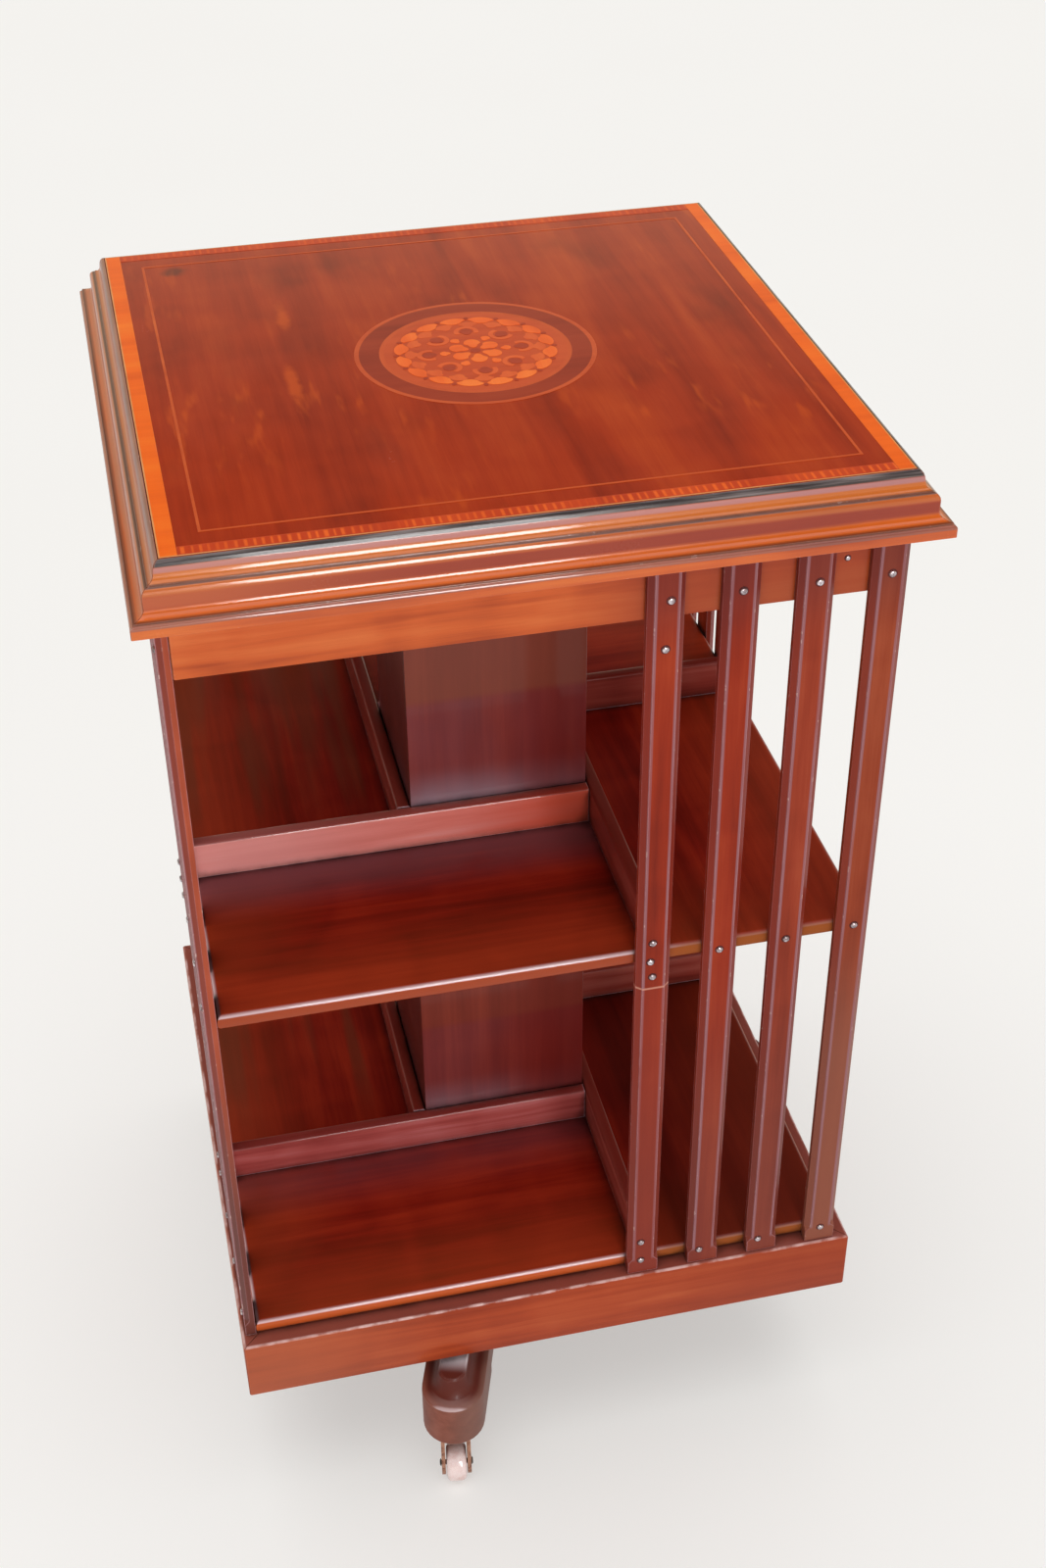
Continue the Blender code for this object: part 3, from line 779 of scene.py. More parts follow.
@dataclass(frozen=True)
class MouldingFinish(WoodFinish):
    """The top's moulding: black ovolo, painted reflection under it, golden coves, red fascia, dark quirks.

    Each band has the depth of its middle below the top, its reach to both sides, and its glaze.

    Attributes:
        top: the height of the top.
        ovolo_black: the tone of the black upper ovolo.
        scuffed: the tone of its scuffs.
        haze: how far a pale painted sheen lies over the whole moulding.
    """

    top: float = 0.8497
    ovolo_black: Colour = tone(58, 50, 50)
    scuffed: Colour = tone(126, 114, 112)
    haze: float = 0.0

    SHEEN_HAZE = tone(180, 114, 84)
    CLOUDS = Pattern(60.0, 3.0, (0.30, 0.70), (1.0, 0.3, 1.0))
    SHEEN_HAZE_LEAST = 0.5
    SCUFFS = Pattern(150.0, 3.0, (0.40, 0.72), (0.12, 0.12, 5.0))
    QUIRK = glaze(44, 34, 34, 0.8)
    QUIRKS = (0.0126, 0.0303)
    QUIRK_REACH = 0.0010
    FASCIA = 0.0213
    FASCIA_REACH = 0.0052
    PALER_TONE = glaze(200, 98, 52, 0.7)
    PALER_RUN = (-0.06, -0.24)
    # Band tones: partly the wood's, partly painted light; the first, pale mauve, is a painted reflection.
    BANDS = (
        (0.0056, 0.0024, glaze(186, 134, 134, 0.75)),
        (0.0098, 0.0036, glaze(206, 112, 44, 0.80)),
        (0.0150, 0.0030, glaze(190, 104, 56, 0.60)),
        (FASCIA, FASCIA_REACH, glaze(146, 44, 20, 0.88)),
        (0.0284, 0.0030, glaze(222, 104, 30, 0.70)),
        (0.0322, 0.0016, glaze(118, 90, 88, 0.60)),
    )
    OVOLO_RUN = (0.0042, 0.0032)
    OVOLO_COAT = 0.25

    def drop(self, graph: Graph, place: Socket) -> Socket:
        """Gives the depth of a place below the top."""
        _, _, z = graph.split(place)
        return graph.math("SUBTRACT", self.top, z)

    def recolour(self, graph: Graph, place: Socket, colour: Socket) -> Socket:
        """Paints the bands by their depth below the top, and fades the fascia to one side."""
        x, _, _ = graph.split(place)
        drop = self.drop(graph, place)
        for middle, reach, band in self.BANDS:
            colour = graph.paint(colour, band, graph.near(drop, middle, reach))
        # The fascia is paler towards the left.
        fascia = graph.near(drop, self.FASCIA, self.FASCIA_REACH)
        colour = graph.paint(colour, self.PALER_TONE, fascia, graph.fade(x, *self.PALER_RUN))
        black = graph.mix(graph.patches(place, self.SCUFFS), self.ovolo_black, self.scuffed)
        colour = graph.mix(self.ovolo(graph, place), colour, black)
        # Painted sheen: a pale haze, which only the left moulding has.
        if self.haze:
            clouds = graph.lifted(graph.patches(place, self.CLOUDS), self.SHEEN_HAZE_LEAST)
            colour = graph.paint(colour, Glaze(self.SHEEN_HAZE, self.haze), clouds)
        for quirk in self.QUIRKS:
            colour = graph.paint(colour, self.QUIRK, graph.near(drop, quirk, self.QUIRK_REACH))
        return colour

    def ovolo(self, graph: Graph, place: Socket) -> Socket:
        """Gives a mask of the black upper part of the ovolo."""
        return graph.fade(self.drop(graph, place), *self.OVOLO_RUN)

    def lacquer(self, graph: Graph, place: Socket) -> Value:
        """Leaves little polish on the black ovolo."""
        return graph.math("MULTIPLY_ADD", self.ovolo(graph, place), self.OVOLO_COAT - self.coat, self.coat)


@dataclass(frozen=True)
class FieldFinish(WoodFinish):
    """The veneer of the top, with faded orange flecks, dark stains and a few single marks.

    Each mark has its middle, half its width and length, and its glaze.
    """

    FLECK = glaze(206, 82, 26, 0.55)
    FLECKS = Pattern(95.0, 2.0, (0.54, 0.72), (1.0, 0.20, 1.0))
    FLECKED = Pattern(7.0, 1.0, (0.46, 0.68))
    STAIN = glaze(92, 26, 16, 0.40)
    STAINS = Pattern(20.0, 3.0, (0.52, 0.80), (1.0, 0.45, 1.0))
    MARKS = (
        (-0.1807, 0.1885, 0.0125, 0.0100, glaze(84, 38, 30, 0.70)),
        (-0.1150, 0.0900, 0.0060, 0.0300, replace(FLECK, weight=0.75)),
        (-0.1225, -0.0200, 0.0065, 0.0400, replace(FLECK, weight=0.65)),
    )
    MARK_RUN = (1.6, 0.8)
    RAGGED = Pattern(90.0, 3.0)
    RAGGED_SHARE = 1.2

    def recolour(self, graph: Graph, place: Socket, colour: Socket) -> Socket:
        """Adds the marks, the stains, and the flecks, which are drawn out along the fibres."""
        x, y, _ = graph.split(place)
        ragged = graph.noise(place, self.RAGGED)
        for middle_x, middle_y, wide, long, mark in self.MARKS:
            across = graph.math("DIVIDE", graph.math("SUBTRACT", x, middle_x), wide)
            along = graph.math("DIVIDE", graph.math("SUBTRACT", y, middle_y), long)
            square = graph.math("MULTIPLY_ADD", across, across, graph.product(along, along))
            away = graph.math("MULTIPLY_ADD", ragged, self.RAGGED_SHARE, graph.math("SQRT", square))
            colour = graph.paint(colour, mark, graph.fade(away, *self.MARK_RUN))
        colour = graph.paint(colour, self.STAIN, graph.patches(place, self.STAINS))
        flecks = graph.patches(place, self.FLECKS)
        return graph.paint(colour, self.FLECK, flecks, graph.patches(place, self.FLECKED))


@dataclass(frozen=True)
class CrossbandFinish(WoodFinish):
    """Short-grained banding cut from many pieces of veneer, each with its own tone.

    Attributes:
        dashes: how far the bright pieces stand out.
        middle: the distance from the spindle of the band's middle.
    """

    dashes: float = 0.0
    middle: float = 0.2226

    DASH = tone(240, 104, 32)
    DASH_REACH = 0.0052
    RHYTHM = math.tau / 0.0052
    DRIFT = Pattern(60.0, 1.0)
    DRIFT_SHARE = 7.0
    UNEVEN = Pattern(170.0, 1.0)
    UNEVEN_SHARE = 2.4
    CLUSTERS = Pattern(17.0, 1.0, (0.36, 0.54))

    def recolour(self, graph: Graph, place: Socket, colour: Socket) -> Socket:
        """Adds short bright bars in clusters along the band."""
        along = graph.stretch(place, (1.0, 0.0, 0.0))
        x, _, _ = graph.split(place)
        drift = graph.noise(along, self.DRIFT)
        phase = graph.math("MULTIPLY_ADD", drift, self.DRIFT_SHARE, graph.product(x, self.RHYTHM))
        wave = graph.swing(graph.noise(along, self.UNEVEN), self.UNEVEN_SHARE, graph.math("SINE", phase))
        bars = graph.fade(wave, 0.0, 1.0)
        clusters = graph.patches(along, self.CLUSTERS)
        inside = graph.near(graph.reach(place), self.middle, self.DASH_REACH)
        return graph.paint(colour, Glaze(self.DASH, self.dashes), bars, clusters, inside)


@dataclass(frozen=True)
class SlatFinish(WoodFinish):
    """A slat, which may have been mended with a new lower length.

    Attributes:
        splice: the height of the joint, or 0 for a slat in one length.
        faded: how far the light has taken the red from its lower half.
        dulled: how far old wax has dulled its lower half.
        dusky: how dark the painted shadow on its head is, under the top.
    """

    splice: float = 0.0
    faded: float = 0.0
    dulled: float = 0.5
    dusky: float = 0.6

    FIRST = 0.0715
    PITCH = 0.0481667
    CHAMFER_SHADE = glaze(132, 48, 38, 0.7)
    CHAMFER_SLANT = (0.20, 0.45)
    HEAD_SHADOW = tone(104, 46, 44)
    HEAD_SHADOW_RUN = (0.735, 0.800)
    DULL = tone(104, 58, 52)
    DULL_RUN = (0.52, 0.26)
    FADED = tone(142, 84, 66)
    FADED_RUN = (0.52, 0.36)
    PALE_WASH = tone(152, 106, 112)
    PALE_LINE_OFFSET = 0.0074
    PALE_LINE_REACH = 0.0013
    PALE_LINE_FACE = (0.2348, 0.2352)
    PALE_LINE_FOOT = (0.1885, 0.1925)
    PALE_WASH_WEIGHT = 0.30
    PALE_LINE_MORE = 0.50
    PATCHES = Pattern(50.0, 3.0, (0.20, 0.60), (1.0, 1.0, 0.2))
    NEWER = glaze(150, 52, 34, 0.35)
    SEAM = glaze(214, 150, 128, 0.7)
    SEAM_REACH = 0.0011

    def from_axis(self, graph: Graph, place: Socket) -> Socket:
        """Gives the distance of a place from the middle of its slat, on any side of the case."""
        x, y, _ = graph.split(place)
        ahead = graph.math("GREATER_THAN", graph.math("ABSOLUTE", y), graph.math("ABSOLUTE", x))
        crosswise = graph.product(x, graph.math("SIGN", y))
        endwise = graph.product(y, graph.math("SIGN", x))
        both = graph.product(graph.math("ADD", crosswise, endwise), ahead)
        along = graph.math("SUBTRACT", endwise, both)
        step = graph.math("SUBTRACT", along, self.FIRST - self.PITCH / 2)
        place_in_step = graph.math("FLOORED_MODULO", step, self.PITCH)
        return graph.math("ABSOLUTE", graph.math("SUBTRACT", place_in_step, self.PITCH / 2))

    def recolour(self, graph: Graph, place: Socket, colour: Socket) -> Socket:
        """Paints shade on the chamfers and head, draws pale lines along the flat's edges, and shows where a
        slat was mended.
        """
        # Painted shade: faces that slant as the chamfers do are darker.
        across, along, _ = graph.split(graph.add("TexCoord").outputs["Normal"])
        slant = graph.math("ABSOLUTE", graph.product(across, along))
        colour = graph.paint(colour, self.CHAMFER_SHADE, graph.fade(slant, *self.CHAMFER_SLANT))
        _, _, z = graph.split(place)
        # The first change is a painted shadow on the head, under the top.
        changes = (
            (self.HEAD_SHADOW, self.dusky, self.HEAD_SHADOW_RUN),
            (self.DULL, self.dulled, self.DULL_RUN),
            (self.FADED, self.faded, self.FADED_RUN),
        )
        for changed, weight, run in changes:
            colour = graph.paint(colour, Glaze(changed, weight), graph.fade(z, *run))
        # Pale lines along both edges of each slat's flat.
        line = graph.near(self.from_axis(graph, place), self.PALE_LINE_OFFSET, self.PALE_LINE_REACH)
        outside = graph.fade(graph.reach(place), *self.PALE_LINE_FACE)
        patches = graph.patches(place, self.PATCHES)
        weight = graph.math("MULTIPLY_ADD", patches, self.PALE_LINE_MORE, self.PALE_WASH_WEIGHT)
        pale_layer = graph.product(line, outside, graph.fade(z, *self.PALE_LINE_FOOT), weight)
        colour = graph.mix(pale_layer, colour, self.PALE_WASH)
        if not self.splice:
            return colour
        colour = graph.paint(colour, self.NEWER, graph.math("LESS_THAN", z, self.splice))
        return graph.paint(colour, self.SEAM, graph.near(z, self.splice, self.SEAM_REACH))


@dataclass(frozen=True)
class ArmFinish(WoodFinish):
    """The base's wood, scuffed grey where feet and brooms meet its top.

    Each line of painted light round an arm's tip has its glaze, its height above the cove's foot, its reach
    to both sides, and the distances from the spindle where it starts and is full.

    Attributes:
        top: the height of the arms' flat top.
    """

    top: float = 0.1149

    GREYER = glaze(124, 92, 82, 0.6)
    GREYER_RUN = (-0.100, -0.074)
    COVE_SHADE = glaze(88, 26, 17, 0.85)
    COVE_FOOT = 0.0189
    COVE_SHADE_RUN = (-0.0006, 0.0010)
    TIP_HIGHLIGHTS = (
        (glaze(146, 106, 98, 0.6), 0.0006, 0.0020, (0.266, 0.281)),
        (glaze(206, 180, 180, 0.8), -0.0012, 0.0014, (0.2800, 0.2830)),
    )
    SCUFF = glaze(226, 214, 218, 0.9)
    SCUFF_END = (0.264, 0.248)
    SCUFF_RUN = (-0.0022, -0.0006)
    PATCHES = Pattern(38.0, 3.0, (0.22, 0.50))

    def recolour(self, graph: Graph, place: Socket, colour: Socket) -> Socket:
        """Greys one side, paints shade in the cove, paints a reflection and a highlight round the tip and
        pales the flat top.
        """
        x, y, z = graph.split(place)
        reach = graph.math("SQRT", graph.math("MULTIPLY_ADD", x, x, graph.product(y, y)))
        colour = graph.paint(colour, self.GREYER, graph.fade(x, *self.GREYER_RUN))
        foot = self.top - self.COVE_FOOT
        # Painted shade in the cove under the flat top.
        colour = graph.paint(colour, self.COVE_SHADE, graph.fade(z, *beside(foot, self.COVE_SHADE_RUN)))
        # A painted reflection on the ledge and a painted highlight on the arris, round the tip.
        for line, rise, spread, tip in self.TIP_HIGHLIGHTS:
            colour = graph.paint(colour, line, graph.near(z, foot + rise, spread), graph.fade(reach, *tip))
        flat = graph.fade(z, *beside(self.top, self.SCUFF_RUN))
        near_hub = graph.fade(reach, *self.SCUFF_END)
        return graph.paint(colour, self.SCUFF, flat, near_hub, graph.patches(place, self.PATCHES))


@dataclass(frozen=True)
class ColumnFinish(WoodFinish):
    """The column's boards, paler above the rails with painted light and dust.

    Each pale layer has its glaze, and the heights above the rails where it ends and is full.

    Attributes:
        feet: the heights where the column rises from behind the rails, each with its share of the pale
            layers.
        face: the distance from the spindle of just inside the boards' faces.
    """

    feet: tuple[Run, ...] = ((0.2193, 0.45), (0.5290, 1.0))
    face: float = 0.0658

    RED = glaze(122, 30, 26, 0.70)
    RED_RUN = (0.04, 0.12)
    LIGHT_AND_DUST_LAYERS = ((glaze(130, 72, 80, 0.62), (0.092, 0.084)), (glaze(172, 152, 166, 0.85), (0.034, -0.004)))
    PATCHES = Pattern(14.0, 2.0, (0.20, 0.70), (1.0, 1.0, 0.5))
    PALER_SIDE = (0.045, -0.035)
    ELSEWHERE = 0.3
    TAN = glaze(138, 72, 52, 0.60)
    TAN_RISE = (0.084, 0.092)
    TIER = (-0.004, 0.25)
    SHADE = glaze(64, 22, 18, 0.6)

    def recolour(self, graph: Graph, place: Socket, colour: Socket) -> Socket:
        """Reddens an edge, tans the top, paints light and dust above the rails, most at their level, and
        shade on the left face.
        """
        x, y, z = graph.split(place)
        colour = graph.paint(colour, self.RED, graph.fade(graph.math("SUBTRACT", x, y), *self.RED_RUN))
        front = graph.lifted(graph.math("LESS_THAN", y, -self.face), self.ELSEWHERE)
        side = graph.lifted(graph.fade(x, *self.PALER_SIDE), self.ELSEWHERE)
        paler = graph.product(graph.patches(place, self.PATCHES), front, side)
        low, high = self.TIER
        for foot, part in self.feet:
            rise = graph.math("SUBTRACT", z, foot)
            below = graph.math("LESS_THAN", rise, high)
            colour = graph.paint(colour, self.TAN, graph.fade(rise, *self.TAN_RISE), below, front, part)
            above = graph.product(graph.math("GREATER_THAN", rise, low), paler, part)
            # The first layer is painted light, the second a haze of dust; both are strongest on the front
            # face.
            for pale_layer, run in self.LIGHT_AND_DUST_LAYERS:
                colour = graph.paint(colour, pale_layer, graph.fade(rise, *run), above)
        return graph.paint(colour, self.SHADE, graph.math("LESS_THAN", x, -self.face))


@dataclass(frozen=True)
class MetalFinish:
    """Aged metal with dull and bright patches.

    Attributes:
        name: the finish's name.
        bright: the tone of the handled places.
        dull: the tone of the tarnish.
        shine: the roughness of the handled places.
    """

    name: str
    bright: Colour
    dull: Colour
    shine: float = 0.28

    TARNISH = Pattern(240.0, 4.0, (0.38, 0.66), twist=0.5)
    DULLER = 0.30
    SHADE_AND_SOIL_REACH = 0.004
    WEAR_REACH = 0.0006
    PITS = Pattern(900.0)
    PIT_STRENGTH = 0.08
    PIT_DEPTH = 0.0003

    def material(self) -> bpy.types.Material:
        """Makes the material, or gives the one made before."""
        made = bpy.data.materials.get(self.name)
        if made is not None:
            return made
        recipe = Recipe(self.name)
        graph = recipe.graph
        place = recipe.place
        # Painted shade, with tarnish, dulls and darkens the corners.
        grime_and_shade = SHADE_AND_GRIME.place(graph, Place=place, Reach=self.SHADE_AND_SOIL_REACH)
        dulled = graph.math("MAXIMUM", graph.patches(place, self.TARNISH), grime_and_shade["Mask"])
        wear = WEAR.place(graph, Place=place, Reach=self.WEAR_REACH)
        dulled = graph.math("SUBTRACT", dulled, wear["Rub"], clamp=True)
        return recipe.finish({
            "Base Color": graph.mix(dulled, self.bright, self.dull),
            "Metallic": 1.0,
            "Roughness": graph.math("MULTIPLY_ADD", dulled, self.DULLER, self.shine),
            "Normal": graph.bump(graph.noise(place, self.PITS), self.PIT_STRENGTH, self.PIT_DEPTH),
        })


@dataclass(frozen=True)
class CeramicFinish:
    """Glazed ceramic, crazed and stained by the floor.

    Attributes:
        name: the finish's name.
        clean: the tone of the clean glaze.
        stain: the tone of the stains.
    """

    name: str
    clean: Colour
    stain: Colour

    CRAZE_SCALE = 420.0
    CRAZE_RUN = (0.045, 0.0)
    CRAZE_STRENGTH = 0.06
    CRAZE_DEPTH = 0.0003
    CLOUDS = Pattern(120.0, 4.0, (0.42, 0.72))
    SHADE_AND_SOIL_REACH = 0.004
    CLOUD_WEIGHT = 0.55
    CRAZE_WEIGHT = 0.45
    SHADE_AND_SOIL_WEIGHT = 0.6
    ROUGHNESS = 0.10
    ROUGHER = 0.22

    def material(self) -> bpy.types.Material:
        """Makes the material."""
        recipe = Recipe(self.name)
        graph = recipe.graph
        place = recipe.place
        cells = graph.add("TexVoronoi", feature="DISTANCE_TO_EDGE")
        graph.feed(cells.inputs["Vector"], place)
        graph.feed(cells.inputs["Scale"], self.CRAZE_SCALE)
        craze = graph.fade(cells.outputs[0], *self.CRAZE_RUN)
        cloud = graph.patches(place, self.CLOUDS)
        # Painted shade, with dirt, stains the corners.
        grime_and_shade = SHADE_AND_GRIME.place(graph, Place=place, Reach=self.SHADE_AND_SOIL_REACH)["Mask"]
        stains = ((cloud, self.CLOUD_WEIGHT), (craze, self.CRAZE_WEIGHT), (grime_and_shade, self.SHADE_AND_SOIL_WEIGHT))
        colour: Value = self.clean
        for mask, weight in stains:
            colour = graph.paint(colour, Glaze(self.stain, weight), mask)
        return recipe.finish({
            "Base Color": colour,
            "Roughness": graph.math("MULTIPLY_ADD", cloud, self.ROUGHER, self.ROUGHNESS),
            "Normal": graph.bump(craze, self.CRAZE_STRENGTH, self.CRAZE_DEPTH),
        })


PLINTH = PlinthFinish(
    "plinth_mahogany", tone(132, 44, 22), tone(174, 70, 36), tone(198, 96, 54),
    streak=0.5, coat=0.10, shine=0.3, shade_and_soil=0.6,
    ends=((glaze(190, 108, 76, 0.45), (-0.06, -0.23)), (glaze(146, 54, 30, 0.45), (0.04, 0.20))),
)
FRIEZE = GradedFinish(
    "frieze_mahogany", tone(152, 54, 22), tone(206, 94, 41), tone(226, 124, 66),
    streak=0.60, mottle=0.30, shade_and_soil=0.6, ends=((glaze(150, 54, 28, 0.7), (-0.01, 0.08)),),
)
SHELF = ShelfFinish(
    "shelf_mahogany", tone(94, 16, 10), tone(140, 30, 18), tone(176, 50, 26),
    streak=0.50, mottle=0.34, pore=0.30, gloss=0.36, coat=0.02, shine=0.12, shade_and_soil=0.85,
)
# Painted lit copy for the front rails: bright tones and highlights on the streaks and arrises, with wear.
RAIL = RailFinish(
    "rail_mahogany", tone(142, 46, 42), tone(190, 88, 84), tone(222, 136, 136),
    streak=0.60, rub=0.9, rubbed=tone(222, 186, 200), wear_reach=0.0018, shade_and_soil=0.9,
)
# The upper front rail is lit paler still, with a painted sheen towards the left.
UPPER_RAIL = RailFinish(
    "upper_rail_mahogany", tone(226, 106, 90), tone(248, 142, 130), tone(254, 176, 170),
    streak=0.55, coat=0.5, rub=0.8, rubbed=tone(240, 214, 226), shade_and_soil=0.9,
    ends=((glaze(254, 178, 174, 0.6), (-0.04, -0.19)), (glaze(220, 82, 52, 0.85), (-0.07, 0.05))),
)
# The painted shaded copy, for the rails on the other sides.
SHADED_RAIL = RAIL.retoned("shaded_rail", (106, 32, 26), (148, 58, 48), (182, 96, 84))
COLUMN = ColumnFinish(
    "column_mahogany", tone(88, 22, 18), tone(126, 42, 33), tone(156, 62, 46), streak=0.50, shade_and_soil=0.7,
)
MOULDING = MouldingFinish(
    "moulding_mahogany", tone(156, 54, 16), tone(204, 90, 30), tone(230, 122, 48),
    streak=0.60, coat=0.8, gloss=0.25, shade_and_soil=0.75, shade_and_soil_reach=0.004,
)
# The left moulding, with a pale painted sheen over it.
SHEENED_MOULDING = replace(
    MOULDING, name="clouded_moulding", streak=0.40, coat=0.5, gloss=0.40,
    ovolo_black=tone(118, 86, 78), scuffed=tone(156, 120, 110), haze=0.65,
)
FIELD = FieldFinish(
    "field_veneer", tone(130, 34, 13), tone(166, 51, 20), tone(190, 72, 28),
    streak=0.30, mottle=0.22, coat=0.18, gloss=0.22, shade_and_soil=0.0, rub=0.2,
)
SLAT = SlatFinish(
    "slat_mahogany", tone(112, 30, 16), tone(150, 46, 22), tone(176, 68, 36),
    coat=0.08, shine=0.25, rub=0.8, rubbed=tone(184, 132, 136), shade_and_soil_reach=0.006,
)
MENDED_SLAT = replace(SLAT, name="mended_slat", splice=0.4705)
PALE_SLAT = SLAT.retoned("pale_slat", (116, 38, 22), (151, 57, 34), (174, 78, 50))
FADED_SLAT = SLAT.retoned(
    "faded_slat", (112, 40, 22), (146, 60, 34), (170, 82, 52), faded=0.75, dulled=0.1, rub=0.4,
)
CORNER_SLAT = SLAT.retoned(
    "corner_slat", (138, 54, 34), (176, 82, 56), (198, 108, 84), dulled=0.9, dusky=0.1,
)
# The base's pale rubbed arrises are a painted highlight along with wear.
ARM = ArmFinish(
    "base_mahogany", tone(104, 54, 42), tone(138, 78, 62), tone(160, 98, 82),
    coat=0.04, gloss=0.46, rub=0.8, rubbed=tone(202, 172, 172), wear_reach=0.0020,
)
HIDDEN = WoodFinish(
    "bearing_beech", tone(150, 108, 66), tone(176, 132, 84), tone(196, 156, 108), coat=0.0, gloss=0.6,
)
SIDE_BAND = CrossbandFinish(
    "side_crossband", tone(228, 88, 14), tone(246, 104, 18), tone(252, 126, 32), coat=0.14, shade_and_soil=0.0, rub=0.1,
)
END_BAND = SIDE_BAND.retoned("end_crossband", (176, 50, 18), (200, 64, 22), (214, 80, 28), dashes=0.85)
BACK_BAND = replace(END_BAND, name="back_crossband", dashes=0.4)
EDGE_LINE = WoodFinish(
    "edge_line", tone(206, 128, 66), tone(222, 150, 88), tone(232, 170, 112), shade_and_soil=0.0, rub=0.0,
)
RING_BAND = EDGE_LINE.retoned("ring_veneer", (132, 40, 22), (156, 52, 29), (172, 64, 35))
LINE = EDGE_LINE.retoned("boxwood_line", (184, 68, 26), (202, 82, 34), (214, 98, 44), mottle=0.1, coat=0.14)
RING_LINE = LINE.retoned("ring_line", (186, 70, 32), (202, 82, 40), (212, 94, 48))
GROUND = LINE.retoned("medallion_ground", (176, 60, 28), (198, 74, 36), (212, 88, 44))
RIM = LINE.retoned("medallion_rim", (186, 68, 34), (202, 80, 40), (214, 92, 48))
CURL = LINE.retoned("medallion_curl", (206, 80, 38), (222, 94, 44), (232, 108, 52))
PETAL = LINE.retoned("medallion_satinwood", (222, 86, 34), (242, 104, 40), (250, 128, 54), mottle=0.7)
SHADE = LINE.retoned("medallion_walnut", (156, 52, 30), (174, 62, 36), (188, 72, 42))
SURROUND = EDGE_LINE.retoned("screw_surround", (72, 28, 26), (90, 36, 34), (106, 48, 44), coat=0.0)

STEEL = MetalFinish("screw_steel", tone(214, 206, 212), tone(132, 114, 116), 0.24)
IRON = MetalFinish("spindle_iron", tone(108, 104, 102), tone(58, 50, 46), 0.42)
BRASS = MetalFinish("caster_brass", tone(176, 132, 112), tone(118, 82, 70), 0.38)
CERAMIC = CeramicFinish("wheel_ceramic", tone(250, 228, 224), tone(216, 164, 152))


class Arrises:
    """Softens the edges of the solids that are shown."""

    WELD = 0.00001
    FLAT = math.radians(0.5)
    SHARP = math.radians(32.0)

    def __init__(self) -> None:
        """Builds the node group that welds a solid's loose triangles and shades its curves smooth."""
        tree = bpy.data.node_groups.new("weld_and_smooth", "GeometryNodeTree")
        tree.interface.new_socket("Geometry", in_out="INPUT", socket_type="NodeSocketGeometry")
        tree.interface.new_socket("Geometry", in_out="OUTPUT", socket_type="NodeSocketGeometry")
        weld = tree.nodes.new("GeometryNodeMergeByDistance")
        weld.inputs["Distance"].default_value = self.WELD
        drop = tree.nodes.new("GeometryNodeRemoveAttribute")
        drop.inputs["Name"].default_value = "custom_normal"
        smooth = tree.nodes.new("GeometryNodeSetShadeSmooth")
        edges = tree.nodes.new("GeometryNodeSetShadeSmooth")
        edges.domain = "EDGE"
        angle = tree.nodes.new("GeometryNodeInputMeshEdgeAngle")
        blunt = tree.nodes.new("FunctionNodeCompare")
        blunt.operation = "LESS_THAN"
        blunt.inputs[1].default_value = self.SHARP
        source = tree.nodes.new("NodeGroupInput")
        chain = (source, weld, drop, smooth, edges, tree.nodes.new("NodeGroupOutput"))
        for before, after in zip(chain, chain[1:]):
            tree.links.new(before.outputs[0], after.inputs[0])
        tree.links.new(angle.outputs["Unsigned Angle"], blunt.inputs[0])
        tree.links.new(blunt.outputs[0], edges.inputs["Shade Smooth"])
        self.tree = tree

    def soften(self, node: str, width: float, steps: int = 2) -> None:
        """Adds the modifiers to one solid.

        Args:
            node: the solid's name.
            width: the width of the rounding on its arrises.
            steps: faces across the rounding.
        """
        piece = frame["nodes"][node]
        piece.modifiers.new("weld", "NODES").node_group = self.tree
        merge = piece.modifiers.new("flats", "DECIMATE")
        merge.decimate_type = "DISSOLVE"
        merge.angle_limit = self.FLAT
        ease = piece.modifiers.new("arris", "BEVEL")
        ease.width = width
        ease.segments = steps
        ease.limit_method = "ANGLE"
        ease.angle_limit = self.SHARP
        ease.harden_normals = True


ARRISES = Arrises()


def dress(node: str, material: bpy.types.Material, arris: float) -> None:
    """Gives a solid its finish and soft arrises.

    Args:
        node: the solid's name.
        material: its finish.
        arris: the width of the rounding, or 0 for none.
    """
    piece = frame["nodes"][node]
    piece.data.materials.clear()
    piece.data.materials.append(material)
    if arris:
        ARRISES.soften(node, arris)
    LOG.info("dressed %s", node)


@contextmanager
def editing(piece: bpy.types.Object) -> Iterator[None]:
    """Opens a piece in edit mode with all of it selected, and closes it after the block."""
    bpy.context.view_layer.objects.active = piece
    bpy.ops.object.mode_set(mode="EDIT")
    bpy.context.tool_settings.mesh_select_mode = (False, False, True)
    bpy.ops.mesh.select_all(action="SELECT")
    yield
    bpy.ops.object.mode_set(mode="OBJECT")


